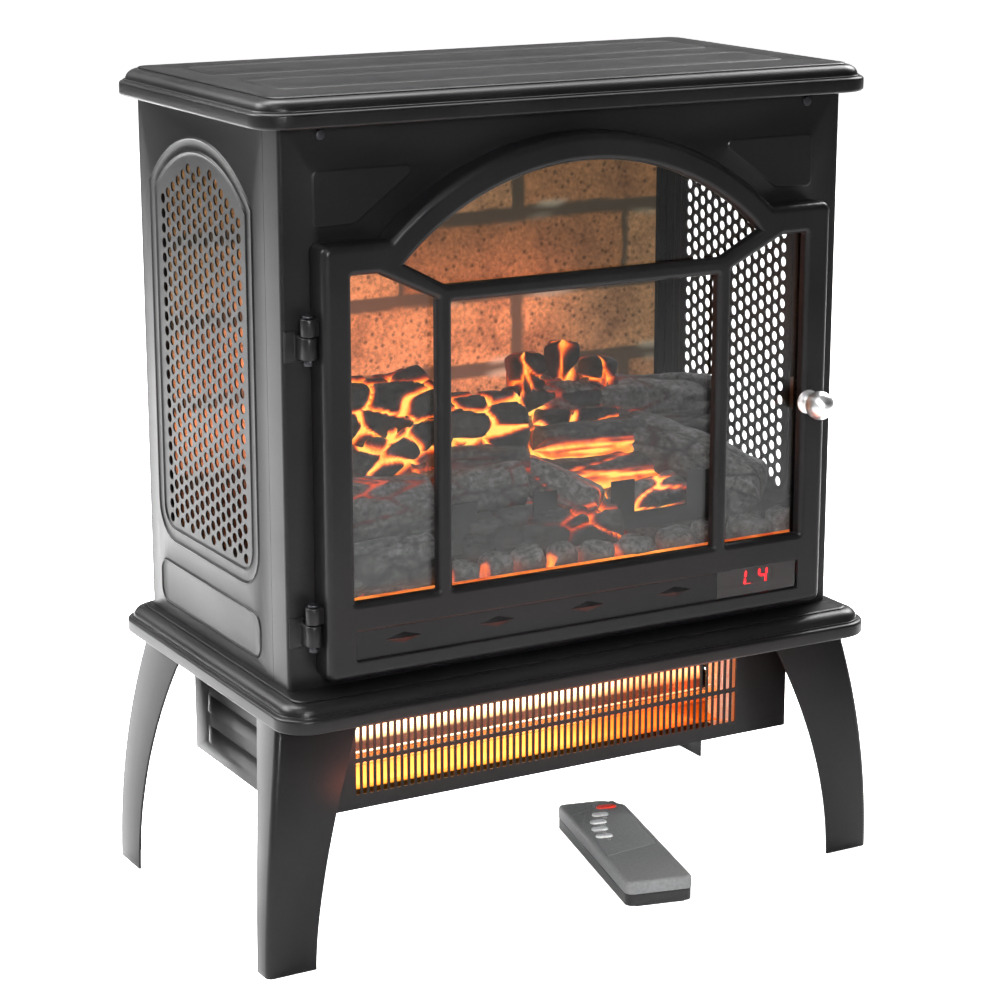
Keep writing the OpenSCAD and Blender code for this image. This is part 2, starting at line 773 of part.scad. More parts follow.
// A bar across the bed with square uprights, standing on two feet behind the coals
module front_grate() {
    grate_y = bed_front + 34 - 6;
    color(black) front_slab(grate_y, 2) {
        translate([-150, bed_top + 24]) square([300, 13]);
        for (k = [-2 : 2]) translate([k * 66 - 10, bed_top + 24]) square([20, 38]);
        for (s = [-1, 1]) translate([s * 146 - 4, bed_top]) square([8, 30]);
    }
}

module led_board() {
    color("darkgreen") {
        box([-150, bed_back + 2, deck_z], [150, bed_back + 3.6, deck_z + 18]);
        for (k = [-7 : 7]) box([k * 20 - 2, bed_back + 3.6, deck_z + 11], [k * 20 + 2, bed_back + 4.8, deck_z + 15]);
    }
}

module spindle_brackets() {
    color("silver") for (s = [-1, 1]) difference() {
        union() {
            translate([s * spindle_half, 0, 0])
                box([-1, spindle_y - 8, deck_z], [1, spindle_y + 8, spindle_z + 8]);
            translate([s * (spindle_half + 7), 0, 0])
                box([-8, spindle_y - 8, deck_z], [8, spindle_y + 8, deck_z + 2]);
        }
        rod_x(-spindle_half - 20, spindle_half + 20, spindle_y, spindle_z, spindle_shaft_r + run_fit);
    }
}

module spindle_motor() {
    start = spindle_half + 1;
    color("dimgray") difference() {
        union() {
            rod_x(start, start + 18, spindle_y, spindle_z, 13);
            box([start + 2, spindle_y - 7, deck_z + 2], [start + 14, spindle_y + 7, spindle_z]);
        }
        rod_x(start - 1, start + 13, spindle_y, spindle_z, spindle_shaft_r + run_fit);
    }
}

module flame_spindle() {
    color("gold") {
        rod_x(-spindle_half - 6, spindle_half + 12, spindle_y, spindle_z, spindle_shaft_r);
        for (k = [0 : spindle_tabs - 1])
            translate([(k - (spindle_tabs - 1) / 2) * (2 * spindle_half - 30) / spindle_tabs,
                       spindle_y, spindle_z])
                rotate([k * 50, 0, 0]) translate([-7, -0.4, -spindle_r]) cube([14, 0.8, 2 * spindle_r]);
    }
}

// ================= controls =================

module display_module() {
    color("black") difference() {
        box([display_x - display_half, cab_front - 1.4, panel_z - 11.5],
            [display_x + display_half, fascia_back + 8, panel_z + 11.5]);
        box([display_x - display_half + 3, cab_front - 3, panel_z - 8.5],
            [display_x + display_half - 3, cab_front - 0.4, panel_z + 8.5]);
    }
    color("black") box([display_x - display_half - 4, fascia_back, panel_z - 11.5],
                       [display_x + display_half + 4, fascia_back + 1.5, panel_z + 11.5]);
}

// Circuit board behind the buttons, with one tactile switch for each and two standoffs
module button_board() {
    color("darkgreen") {
        box([button_xs[0] - 16, board_y, panel_z - 11], [button_xs[3] + 16, board_y + board_t, panel_z + 11]);
        for (x = button_xs) rod_y(x, board_y - 1.2, board_y, panel_z, 1.8);
        for (x = [button_xs[0] - 12, button_xs[3] + 12]) rod_y(x, fascia_back, board_y, panel_z, 2.5);
    }
}

module panel_button(k) {
    color("dimgray") {
        rod_y(button_xs[k], button_face, fascia_back + rest_gap + flange_t, panel_z, button_r);
        rod_y(button_xs[k], fascia_back + rest_gap, fascia_back + rest_gap + flange_t, panel_z,
              button_r + 1.5);
        rod_y(button_xs[k], fascia_back + rest_gap, board_y - 1.2 - button_travel - 0.1, panel_z, 1.6);
    }
}

module power_button() { panel_button(0); }
module timer_button() { panel_button(1); }
module heat_button() { panel_button(2); }
module flame_button() { panel_button(3); }

// Main board, standing on the back panel behind the backdrop's foot
module control_board() {
    color("darkgreen") {
        box([-60, panel_back - 6, deck_z + 40], [60, panel_back - 4.4, deck_z + 110]);
        for (x = [-54, 54], z = [deck_z + 46, deck_z + 104])
            rod_y(x, panel_back - 4.4, panel_back, z, 2.5);
    }
}

module cord_gland() {
    color("black") difference() {
        union() {
            rod_y(gland_x, panel_back - 4, cab_back + 4, rocker_z, 7.8);
            rod_y(gland_x, cab_back, cab_back + 4, rocker_z, 10.5);
            rod_y(gland_x, panel_back - 4, panel_back, rocker_z, 10.5);
        }
        rod_y(gland_x, panel_back - 5, cab_back + 5, rocker_z, 3.6);
    }
}

rocker_pin_r = 1.5;
module rocker_bezel() {
    color("black") difference() {
        union() {
            box([rocker_x - 13.7, panel_back - 10, rocker_z - 9.7], [rocker_x + 13.7, cab_back + 1, rocker_z + 9.7]);
            box([rocker_x - 17, cab_back, rocker_z - 13], [rocker_x + 17, cab_back + 2.5, rocker_z + 13]);
        }
        box([rocker_x - 11, panel_back - 8.5, rocker_z - 7.6], [rocker_x + 11, cab_back + 4, rocker_z + 7.6]);
        rod_x(rocker_x - 12.6, rocker_x + 12.6, cab_back - 2, rocker_z, rocker_pin_r + run_fit);
    }
}

rocker_tilt = 8;
module power_rocker() {
    color([0.7, 0.1, 0.08]) translate([rocker_x, cab_back - 2, rocker_z]) rotate([rocker_tilt, 0, 0]) {
        side_slab(-10.6, 21.2) polygon([[-3, -5], [-3, 5], [3.4, 6.6], [2.2, 0], [3.4, -6.6]]);
        rod_x(-12.4, 12.4, 0, 0, rocker_pin_r);
    }
}

module magnet_catch() {
    color("dimgray") {
        box([catch_x - catch_half, cab_front - 1, knob_z - 12], [catch_x + catch_half, fascia_back + 8, knob_z + 12]);
        box([catch_x - catch_half, fascia_back, knob_z - 17], [catch_x + catch_half, fascia_back + 2, knob_z + 17]);
    }
}

// ================= door =================

// The three panes' openings and the arched light above, bigger all round by grow
module door_lights(grow) {
    for (s = [-1, 1])
        polygon([[s * (light_in - grow), light_low - grow], [s * (light_out + grow), light_low - grow],
                 [s * (light_out + grow), light_top + grow], [s * (light_out - 20 - grow / 3), light_top + grow],
                 [s * (light_in - grow), light_top - 21 + grow * 0.8]]);
    translate([-bar_x + bar_w / 2 - grow, light_low - grow])
        square([2 * (bar_x - bar_w / 2 + grow), transom_low - light_low + 2 * grow]);
    intersection() {
        translate([0, arch_z]) circle(arch_r - arch_rim + grow);
        polygon([[-bar_x + 2, transom_top - grow], [bar_x - 2, transom_top - grow],
                 [bar_x + 30, transom_top + diag_rise - grow], [bar_x + 60, transom_top + 2 * diag_rise - grow],
                 [bar_x + 60, door_top], [-bar_x - 60, door_top],
                 [-bar_x - 60, transom_top + 2 * diag_rise - grow], [-bar_x - 30, transom_top + diag_rise - grow]]);
    }
}

module door_frame() {
    color(black) difference() {
        front_slab(door_front, door_t) door_outline(0);
        front_slab(door_front - 1, door_t + 2) door_lights(0);
        front_slab(door_front + face_t, glass_front - door_front - face_t) difference() {
            door_outline(door_wall);
            door_lights(door_wall);
        }
        front_slab(glass_front, door_back - glass_front + 1) door_outline(door_wall);
        front_slab(door_front - 1, door_t) translate([-strip_half, strip_low])
            square([2 * strip_half, strip_h]);
        rod_y(knob_x, door_front - 1, door_front + face_t + 1, knob_z, screw_r + 0.1);
        rod_y(knob_x, door_front + face_t, glass_front, knob_z, 4.3);
    }
}

module door_glass() {
    color([0.8, 0.85, 0.9, 0.3]) front_slab(glass_front, glass_t) intersection() {
        door_outline(glass_inset);
        translate([-door_half, light_low - 8]) square([2 * door_half, stove_h]);
    }
}

// Spring-steel tabs that hold the glass against the frame's rims
module glass_clips() {
    clip_zs = [light_low + 14, (light_low + light_top) / 2, light_top - 14];
    color("silver") for (s = [-1, 1], z = clip_zs)
        translate([s * (door_half - door_wall - 8), glass_back + 0.6, z])
            cube([16, 1.2, 14], center = true);
}

module display_window() {
    color([0.1, 0.02, 0.02, 0.6]) box([window_x, door_front + face_t, strip_low - strip_lap],
                                 [strip_half + strip_lap, door_front + face_t + insert_t, strip_low + strip_h + strip_lap]);
}

// The pressed strip beside the window, with four raised lozenges
module diamond_panel() {
    run = window_x + strip_half;
    color(black) {
        box([-strip_half - strip_lap, door_front + face_t, strip_low - strip_lap],
            [window_x - 0.2, door_front + face_t + insert_t, strip_low + strip_h + strip_lap]);
        front_slab(door_front + face_t - 1.2, 1.2)
            for (k = [0 : 3]) translate([-strip_half + run * (k + 0.5) / 4, strip_low + strip_h * 0.55])
                polygon([[-14, 0], [0, -3.5], [14, 0], [0, 3.5]]);
    }
}

module door_knuckles() {
    color(black) for (z = hinge_zs) difference() {
        union() {
            translate([hinge_x, hinge_y, z + fixed_h + knuckle_gap]) cylinder(h = knuckle_h, r = knuckle_r);
            box([hinge_x, hinge_y - 4, z + fixed_h + knuckle_gap],
                [-door_half, hinge_y + 4, z + fixed_h + knuckle_gap + knuckle_h]);
        }
        translate([hinge_x, hinge_y, z]) cylinder(h = 60, r = pin_r + run_fit);
    }
}

module fixed_hinge_leaves() {
    color(black) for (z = hinge_zs) difference() {
        union() {
            translate([hinge_x, hinge_y, z]) cylinder(h = fixed_h, r = knuckle_r);
            box([hinge_x - knuckle_r, hinge_y, z], [hinge_x + 2, cab_front, z + fixed_h]);
            box([-side_x + 1, cab_front - 1.6, z - 3], [hinge_x + 2, cab_front, z + fixed_h + 3]);
        }
        translate([hinge_x, hinge_y, z - 20]) cylinder(h = 60, r = pin_r + run_fit);
    }
}

module hinge_pins() {
    color("dimgray") for (z = hinge_zs) translate([hinge_x, hinge_y, z - pin_drop]) {
        cylinder(h = pin_drop + fixed_h + knuckle_gap + knuckle_h + 1, r = pin_r);
        translate([0, 0, pin_drop + fixed_h + knuckle_gap + knuckle_h + 0.4]) cylinder(h = 1.6, r = 4);
        cylinder(h = pin_drop - 0.4, r = 3.4);
    }
}

module door_knob() {
    color("white") difference() {
        union() {
            translate([knob_x, door_front - knob_out + knob_r, knob_z]) sphere(knob_r);
            rod_y(knob_x, door_front - knob_out + 2 * knob_r - 3, door_front, knob_z, knob_neck_r);
        }
        rod_y(knob_x, door_front - knob_out + knob_r, door_front + 1, knob_z, screw_r + 0.02);
    }
}

module knob_screw() {
    color("silver") {
        rod_y(knob_x, door_front - 11, door_front + face_t, knob_z, screw_r);
        rod_y(knob_x, door_front + face_t, door_front + face_t + 2, knob_z, 4);
    }
}

module strike_plate() {
    color("silver") {
        box([catch_x - 3, glass_back + 2, knob_z - 14], [door_half - door_wall, door_back - 0.2, knob_z + 14]);
    }
}

// ================= handset =================

module at_handset() {
    translate([handset_x, handset_y, 0]) rotate([0, 0, handset_turn]) children();
}

// The handset's plan: a slim bar whose far end is cut at a slant
module handset_plan(inset) {
    hw = handset_w / 2 - inset;
    hl = handset_l / 2 - inset;
    intersection() {
        soft_rect([-hw, -hl], [hw, hl], 6 - inset);
        polygon([[-hw, -hl], [hw, -hl], [hw, hl - 14], [hw * 0.45, hl], [-hw, hl]]);
    }
}

// The keys stand on an arc, from the right at the far end round to the left
key_ys = [for (k = [0 : 4]) handset_l / 2 - key_start - k * key_pitch];
key_xs = [for (k = [0 : 4]) let (d = (4 - k) * key_pitch)
    key_sweep - key_side - sqrt(key_sweep * key_sweep - d * d)];
key_sizes = [1.25, 1, 1, 1, 1];

module key_plan(k, grow) {
    l = key_l * key_sizes[k] / 2 + grow;
    w = key_w / 2 + grow;
    translate([key_xs[k], key_ys[k]]) {
        square([2 * (l - w), 2 * w], center = true);
        for (s = [-1, 1]) translate([s * (l - w), 0]) circle(w);
    }
}

split_z = handset_t / 2;

module handset_top() {
    color(charcoal) at_handset() difference() {
        translate([0, 0, split_z]) linear_extrude(handset_t - split_z) handset_plan(0);
        translate([0, 0, split_z - 1]) linear_extrude(handset_t - split_z - shell_t + 1) handset_plan(shell_t);
        for (k = [0 : 4])
            translate([0, 0, split_z]) linear_extrude(handset_t) key_plan(k, key_fit);
    }
}

module handset_base() {
    color("black") at_handset() difference() {
        linear_extrude(split_z - 0.2) handset_plan(0);
        translate([0, 0, shell_t + 1.4]) linear_extrude(handset_t) handset_plan(shell_t);
        translate([0, 0, -1]) linear_extrude(1 + shell_t + 0.1)
            translate([-cover_w / 2 - 0.3, -handset_l / 2 - 1]) square([cover_w + 0.6, cover_l + 1.3]);
    }
}

module battery_cover() {
    color("black") at_handset() linear_extrude(shell_t)
        translate([-cover_w / 2, -handset_l / 2]) square([cover_w, cover_l]);
}

// The handset's circuit board, on four posts under the keys
module handset_board() {
    color("darkgreen") at_handset() {
        translate([0, 0, board_z]) linear_extrude(1.4) intersection() {
            handset_plan(shell_t + 0.5);
            translate([-handset_w, -4]) square([2 * handset_w, handset_l]);
        }
        for (x = [-12, 12], y = [0, 52]) translate([x, y, shell_t + 1.4])
            cylinder(h = board_z - shell_t - 1.4, r = 2);
    }
}

module handset_key(k, tint) {
    color(tint) at_handset() {
        translate([0, 0, handset_t - shell_t - 1.5]) linear_extrude(shell_t + 1.5 + 1) key_plan(k, 0);
        translate([0, 0, handset_t - shell_t - 1.5]) linear_extrude(1.2) key_plan(k, 1.2);
    }
}

module handset_power_key() { handset_key(0, "red"); }
module handset_timer_key() { handset_key(1, "lightgray"); }
module handset_heat_key() { handset_key(2, "lightgray"); }
module handset_warm_key() { handset_key(3, "lightgray"); }
module handset_flame_key() { handset_key(4, "lightgray"); }

top_plate();
base_plate();
front_fascia();
left_side_panel();
right_side_panel();
back_panel();
leg_front_left();
leg_front_right();
leg_rear_left();
leg_rear_right();
leg_screws();
case_screws();
heater_housing();
heater_grille();
heater_reflector();
quartz_tubes();
heating_coils();
tube_end_caps();
blower_scroll();
blower_motor();
brick_backdrop();
ember_bed();
log_set();
front_grate();
led_board();
spindle_motor();
spindle_brackets();
display_module();
button_board();
control_board();
cord_gland();
rocker_bezel();
magnet_catch();
fixed_hinge_leaves();
hinge_pins();
door_frame();
door_glass();
glass_clips();
display_window();
diamond_panel();
door_knuckles();
door_knob();
knob_screw();
strike_plate();
flame_spindle();
blower_wheel();
power_rocker();
power_button();
timer_button();
heat_button();
flame_button();
handset_top();
handset_base();
handset_board();
battery_cover();
handset_power_key();
handset_timer_key();
handset_heat_key();
handset_warm_key();
handset_flame_key();
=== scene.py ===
import math
import random

import bmesh
import bpy
from mathutils import Matrix, Vector, noise


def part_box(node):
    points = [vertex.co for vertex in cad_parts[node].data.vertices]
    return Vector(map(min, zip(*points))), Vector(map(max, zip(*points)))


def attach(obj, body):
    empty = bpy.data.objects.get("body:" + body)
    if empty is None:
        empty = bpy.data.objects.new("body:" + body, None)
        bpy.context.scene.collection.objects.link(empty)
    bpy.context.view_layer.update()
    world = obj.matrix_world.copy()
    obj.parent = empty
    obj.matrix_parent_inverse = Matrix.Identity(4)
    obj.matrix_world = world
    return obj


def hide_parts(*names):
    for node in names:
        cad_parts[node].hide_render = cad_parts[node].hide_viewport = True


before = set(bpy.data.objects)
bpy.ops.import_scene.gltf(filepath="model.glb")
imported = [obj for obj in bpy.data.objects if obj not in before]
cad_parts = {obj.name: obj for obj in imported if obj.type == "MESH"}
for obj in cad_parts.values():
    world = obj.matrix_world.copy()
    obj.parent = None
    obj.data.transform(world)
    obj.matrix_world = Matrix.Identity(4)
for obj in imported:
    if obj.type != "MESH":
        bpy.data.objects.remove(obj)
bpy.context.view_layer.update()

# ---------------------------------------------------------------- studio
# The stove stands on a pale seamless floor that sweeps up into a backdrop well behind it.
# Gridded softboxes light it from behind on both sides and from above, a strip picks out its
# edges, and small lamps reach the logs, the handset and the plate over the heater.
CAMERA_PLACE = (-0.9835, -1.7438, 0.8033)
CAMERA_TURN = (math.radians(75.32), 0.0, math.radians(-29.47))
CAMERA_LENS = 100.3
SWEEP_NEAR, SWEEP_FAR, SWEEP_HEIGHT, SWEEP_HALF = -18.0, 7.0, 5.0, 16.0
FLOOR_LIFT = 0.9

camera = bpy.data.objects.new("camera", bpy.data.cameras.new("camera"))
camera.location = CAMERA_PLACE
camera.rotation_euler = CAMERA_TURN
camera.data.lens = CAMERA_LENS
camera.data.sensor_width = 36.0
camera.data.clip_end = 60.0
bpy.context.scene.collection.objects.link(camera)
bpy.context.scene.camera = camera


def feed(node, **inputs):
    """Gives a node's inputs, by name or by number: plain values, or sockets to wire in."""
    for label, value in inputs.items():
        label = label.removeprefix("in_").replace("_", " ")
        socket = node.inputs[int(label) if label.isdigit() else label]
        if isinstance(value, bpy.types.NodeSocket):
            node.id_data.links.new(value, socket)
        else:
            socket.default_value = value


def principled(name, **values):
    """A new material and its Principled shader, with the values on the shader's own sockets."""
    material = bpy.data.materials.new(name)
    material.use_nodes = True
    shader = material.node_tree.nodes["Principled BSDF"]
    feed(shader, **values)
    return material, shader


def add_node(tree, kind, **settings):
    """A node of that kind; settings whose name starts with in_ are its inputs."""
    made = tree.nodes.new(kind)
    for key, value in settings.items():
        if key.startswith("in_"):
            feed(made, **{key: value})
        else:
            setattr(made, key, value)
    return made


def calc(tree, operation, *values):
    """The result of a Math node on numbers or sockets."""
    inputs = {"in_%d" % number: value for number, value in enumerate(values)}
    return add_node(tree, "ShaderNodeMath", operation=operation, **inputs).outputs[0]


def remap(tree, value, low, high, new_low, new_high):
    return add_node(tree, "ShaderNodeMapRange", in_0=value, in_1=low, in_2=high, in_3=new_low,
                    in_4=new_high).outputs[0]


def new_object(name, mesh):
    made = bpy.data.objects.new(name, mesh)
    bpy.context.scene.collection.objects.link(made)
    return made


floor_mesh = bpy.data.meshes.new("floor")
sweep = [(SWEEP_NEAR, 0.0), (SWEEP_FAR - 2.0, 0.0)]
sweep += [(SWEEP_FAR - 2.0 + 2.0 * math.sin(a), 2.0 - 2.0 * math.cos(a))
          for a in [math.radians(6 * k) for k in range(1, 16)]]
sweep.append((SWEEP_FAR, SWEEP_HEIGHT))
floor_points = [(side * SWEEP_HALF, y, z) for y, z in sweep for side in (-1, 1)]
floor_faces = [(2 * k, 2 * k + 1, 2 * k + 3, 2 * k + 2) for k in range(len(sweep) - 1)]
floor_mesh.from_pydata(floor_points, [], floor_faces)
floor_mesh.polygons.foreach_set("use_smooth", [True] * len(floor_faces))
floor = new_object("floor", floor_mesh)
floor_paint, floor_shader = principled("floor_paint", Base_Color=(0.9, 0.9, 0.9, 1), Roughness=0.9,
                                       Specular_IOR_Level=0.1, Emission_Color=(1, 1, 1, 1))
floor_mesh.materials.append(floor_paint)
seen_directly = add_node(floor_paint.node_tree, "ShaderNodeLightPath").outputs["Is Camera Ray"]
feed(floor_shader, Emission_Strength=calc(floor_paint.node_tree, "MULTIPLY", seen_directly, FLOOR_LIFT))

bpy.context.scene.view_settings.view_transform = "Standard"
world = bpy.data.worlds.new("studio")
world.use_nodes = True
bpy.context.scene.world = world
sky = world.node_tree
direction = add_node(sky, "ShaderNodeTexCoord").outputs["Generated"]
sideways = add_node(sky, "ShaderNodeVectorMath", operation="DOT_PRODUCT", in_0=direction,
                    in_1=(-0.45, 0.85, 0.25)).outputs["Value"]
feed(sky.nodes["Background"], Color=(1.0, 1.0, 1.0, 1.0),
     Strength=remap(sky, sideways, -0.6, 0.9, 0.03, 0.5))


def soft_light(name, place, aim, size, power, grid=90, colour=(1, 1, 1)):
    lamp = bpy.data.lights.new(name, "AREA")
    lamp.shape, lamp.size, lamp.size_y = "RECTANGLE", size[0], size[1]
    lamp.energy, lamp.spread, lamp.color = power, math.radians(grid), colour
    made = bpy.data.objects.new(name, lamp)
    made.location = place
    made.rotation_euler = (Vector(aim) - Vector(place)).to_track_quat("-Z", "Y").to_euler()
    bpy.context.scene.collection.objects.link(made)


soft_light("back_left_softbox", (-2.3, 2.2, 2.3), (-1.3, 1.3, 0.0), (3.0, 2.0), 112)
soft_light("overhead_softbox", (0.0, 1.0, 2.5), (0.0, 0.8, 0.3), (2.6, 1.2), 60)
soft_light("back_right_softbox", (3.4, 1.8, 2.6), (1.6, 1.6, 0.0), (2.0, 2.0), 100)
soft_light("edge_strip", (-1.2, -0.9, 2.2), (0.0, 0.0, 0.5), (0.2, 1.6), 10, grid=160)
soft_light("log_light", (-0.9, -2.5, 1.15), (0.0, 0.0, 0.35), (0.5, 0.5), 3.6, grid=40)
soft_light("handset_light", (-0.30, -0.85, 0.95), (0.06, -0.07, 0.0), (0.2, 0.2), 0.55, grid=50)
soft_light("heater_spill", (0.0, -0.175, 0.112), (0.0, -0.115, 0.185), (0.31, 0.012), 0.20, grid=150,
           colour=(1.0, 0.16, 0.05))

# ---------------------------------------------------------------- legs
# Four pressed-steel legs of L section. Each is one sheet bent on its corner and splayed in a
# curve to the foot, with a broad flange on one face and a narrow one on the other.
LEG_ROWS = 36
LEG_SHEET, SHEET = 0.002, 0.0012
LEG_BEND = 0.0045
SPLAY_X, SPLAY_Y = 0.0195, 0.018
FOOT_BROAD, FOOT_NARROW = 0.0375, 0.017
TOP_BROAD, TOP_NARROW = 0.064, 0.034


def object_place(tree):
    return add_node(tree, "ShaderNodeTexCoord").outputs["Object"]


def noisy(tree, place, scale, detail, roughness=0.5):
    return add_node(tree, "ShaderNodeTexNoise", in_Vector=place, in_Scale=scale, in_Detail=detail,
                    in_Roughness=roughness).outputs["Fac"]


def scaled(tree, colour, factor):
    return add_node(tree, "ShaderNodeVectorMath", operation="SCALE", in_0=colour,
                    in_Scale=factor).outputs[0]


def powder_group():
    """Powder coat: a fine orange-peel height, and a slow drift in gloss and in shade."""
    tree = bpy.data.node_groups.new("powder_coat", "ShaderNodeTree")
    face = tree.interface
    face.new_socket("Grain", in_out="INPUT", socket_type="NodeSocketFloat").default_value = 900.0
    face.new_socket("Gloss", in_out="INPUT", socket_type="NodeSocketFloat").default_value = 0.42
    face.new_socket("Shade", in_out="INPUT", socket_type="NodeSocketColor")
    for label, kind in (("Color", "Color"), ("Roughness", "Float"), ("Height", "Float")):
        face.new_socket(label, in_out="OUTPUT", socket_type="NodeSocket" + kind)
    given = tree.nodes.new("NodeGroupInput").outputs
    place = object_place(tree)
    drift = noisy(tree, place, 9.0, 3.0)
    shade = calc(tree, "MULTIPLY", remap(tree, drift, 0.3, 0.7, 0.82, 1.2),
                 remap(tree, noisy(tree, place, 420.0, 2.0), 0.35, 0.65, 0.9, 1.1))
    gloss = calc(tree, "ADD", given["Gloss"], remap(tree, drift, 0.3, 0.7, -0.045, 0.045))
    feed(tree.nodes.new("NodeGroupOutput"), Color=scaled(tree, given["Shade"], shade), Roughness=gloss,
         Height=noisy(tree, place, given["Grain"], 3.0, 0.55))
    return tree


POWDER = powder_group()


def coated(name, shade, gloss, grain=900.0, relief=0.00006, **values):
    """A coated, moulded or cast surface: the powder group on colour, roughness and bump."""
    material, shader = principled(name, **values)
    tree = material.node_tree
    group = add_node(tree, "ShaderNodeGroup", node_tree=POWDER, in_Grain=grain, in_Gloss=gloss,
                     in_Shade=(*shade, 1.0)).outputs
    bump = add_node(tree, "ShaderNodeBump", in_Distance=relief, in_Strength=0.6,
                    in_Height=group["Height"])
    feed(shader, Base_Color=group["Color"], Roughness=group["Roughness"], Normal=bump.outputs["Normal"])
    return material


black_coat = coated("black_powder_coat", (0.007, 0.0066, 0.007), 0.33, Specular_IOR_Level=0.22)


def smooth(mesh, angle=35.0):
    mesh.polygons.foreach_set("use_smooth", [True] * len(mesh.polygons))
    mesh.set_sharp_from_angle(angle=math.radians(angle))
    mesh.update()


def settle(made, angle=35.0):
    """Applies the modifiers, so that the piece is one plain mesh, and smooths it."""
    if made.modifiers or made.type != "MESH":
        graph = bpy.context.evaluated_depsgraph_get()
        mesh = bpy.data.meshes.new_from_object(made.evaluated_get(graph))
        if made.type == "MESH":
            made.modifiers.clear()
            made.data = mesh
        else:
            flat, made = made, new_object(made.name + "_solid", mesh)
            kept = flat.name
            bpy.data.objects.remove(flat)
            made.name = kept
    smooth(made.data, angle)
    return made


def fit(made, body, slot, material, *nodes):
    """Gives a finished piece its material and its body, and hides the nodes that it stands for. The slot is
    not used.
    """
    if material is not None:
        made.data.materials.clear()
        made.data.materials.append(material)
    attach(made, body)
    if nodes:
        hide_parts(*nodes)
    return made


def fit_painted(made, *nodes, body="stove"):
    """A piece with the cabinet's own black coat."""
    return fit(made, body, "black_coat", black_coat, *nodes)


def from_bmesh(name, bm, outward=True):
    if outward:
        bmesh.ops.recalc_face_normals(bm, faces=bm.faces)
    mesh = bpy.data.meshes.new(name)
    bm.to_mesh(mesh)
    bm.free()
    return new_object(name, mesh)


def thicken(made, depth):
    """Gives a sheet its thickness, inwards from the face that shows."""
    wall = made.modifiers.new("wall", "SOLIDIFY")
    wall.thickness, wall.offset, wall.use_even_offset = depth, -1.0, True
    return made


def bevelled(made, width, segments, angle):
    edge = made.modifiers.new("edge", "BEVEL")
    edge.width, edge.segments, edge.limit_method = width, segments, "ANGLE"
    edge.angle_limit = math.radians(angle)
    return made


def arc_steps(step, first, last):
    """The angles from first to last steps of so many degrees, in radians."""
    return [math.radians(step * k) for k in range(first, last + 1)]


def skin(bm, rows, flip=False):
    """The faces between rows of vertices that are open at their ends."""
    for lower, upper in zip(rows, rows[1:]):
        for k in range(len(lower) - 1):
            quad = (lower[k], lower[k + 1], upper[k + 1], upper[k])
            bm.faces.new(quad[::-1] if flip else quad)


def pressed_leg(name, side, back):
    low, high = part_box(name)
    out_x = max(abs(low.x), abs(high.x))
    middle = (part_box("base_plate")[0].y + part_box("base_plate")[1].y) / 2
    out_y = (high.y if back > 0 else -low.y) - back * middle
    height = high.z
    bm = bmesh.new()
    rows = []
    for k in range(LEG_ROWS + 1):
        z = height * k / LEG_ROWS
        share = z / height
        x = out_x - SPLAY_X * share ** 1.85
        y = out_y - SPLAY_Y * share ** 2.6
        broad = FOOT_BROAD + (TOP_BROAD - FOOT_BROAD) * share ** 1.7
        narrow = FOOT_NARROW + (TOP_NARROW - FOOT_NARROW) * share ** 1.7
        along_x, along_y = (broad, narrow) if back < 0 else (narrow, broad)
        path = [(x - along_x, y)]
        path += [(x - LEG_BEND + LEG_BEND * math.sin(a), y - LEG_BEND + LEG_BEND * math.cos(a))
                 for a in arc_steps(15, 0, 6)]
        path.append((x, y - along_y))
        rows.append([bm.verts.new((side * px, middle + back * py, z)) for px, py in path])
    skin(bm, rows, flip=side * back >= 0)
    leg = thicken(from_bmesh(name + "_pressing", bm, outward=False), LEG_SHEET)
    return settle(bevelled(leg, 0.0005, 2, 60))


for leg_name, leg_side, leg_back in (("leg_front_left", -1, -1), ("leg_front_right", 1, -1),
                                     ("leg_rear_left", -1, 1), ("leg_rear_right", 1, 1)):
    fit_painted(pressed_leg(leg_name, leg_side, leg_back), leg_name)

# ---------------------------------------------------------------- plates
# The top and the base are pressed from sheet, with a rounded lip, a bead and a cove all round.
# The top has two long round-cornered grooves pressed into it.
PLATE_CORNER = 0.024
MOULD_WIDTH = 0.014
CORNER_STEPS = 14
GROOVE_STEP = ((0, 0), (0.0007, 0.0003), (0.0014, 0.0007), (0.0021, 0.0007), (0.0028, 0.0003),
               (0.0035, 0))


def round_loop(low, high, radius, steps=CORNER_STEPS):
    """Points and outward directions round a rectangle with round corners, anticlockwise."""
    turns = []
    for k, (sx, sy) in enumerate(((1, 1), (-1, 1), (-1, -1), (1, -1))):
        cx = high[0] - radius if sx > 0 else low[0] + radius
        cy = high[1] - radius if sy > 0 else low[1] + radius
        for i in range(steps + 1):
            a = math.pi / 2 * (k + i / steps)
            turns.append(((cx, cy), (math.cos(a), math.sin(a))))
    return [((c[0] + radius * d[0], c[1] + radius * d[1]), d) for c, d in turns]


def ring_of(bm, loop, inset, z):
    """A closed ring of vertices, moved in from the loop by inset, at height z."""
    return [bm.verts.new((p[0] - inset * d[0], p[1] - inset * d[1], z)) for p, d in loop]


def bridge(bm, outer, inner):
    for k in range(len(outer)):
        j = (k + 1) % len(outer)
        bm.faces.new((outer[k], outer[j], inner[j], inner[k]))


def bridge_all(bm, rings):
    for outer, inner in zip(rings, rings[1:]):
        bridge(bm, outer, inner)
    return rings


def corners_of(left, low, right, high):
    """A rectangle's corners, anticlockwise from the lower left."""
    return [(left, low), (right, low), (right, high), (left, high)]


def fill(bm, *rings):
    """Fills the flat area between rings, the first outermost."""
    edges = []
    for ring in rings:
        for k in range(len(ring)):
            pair = (ring[k], ring[(k + 1) % len(ring)])
            edges.append(bm.edges.get(pair) or bm.edges.new(pair))
    bmesh.ops.triangle_fill(bm, use_beauty=True, use_dissolve=False, edges=edges)


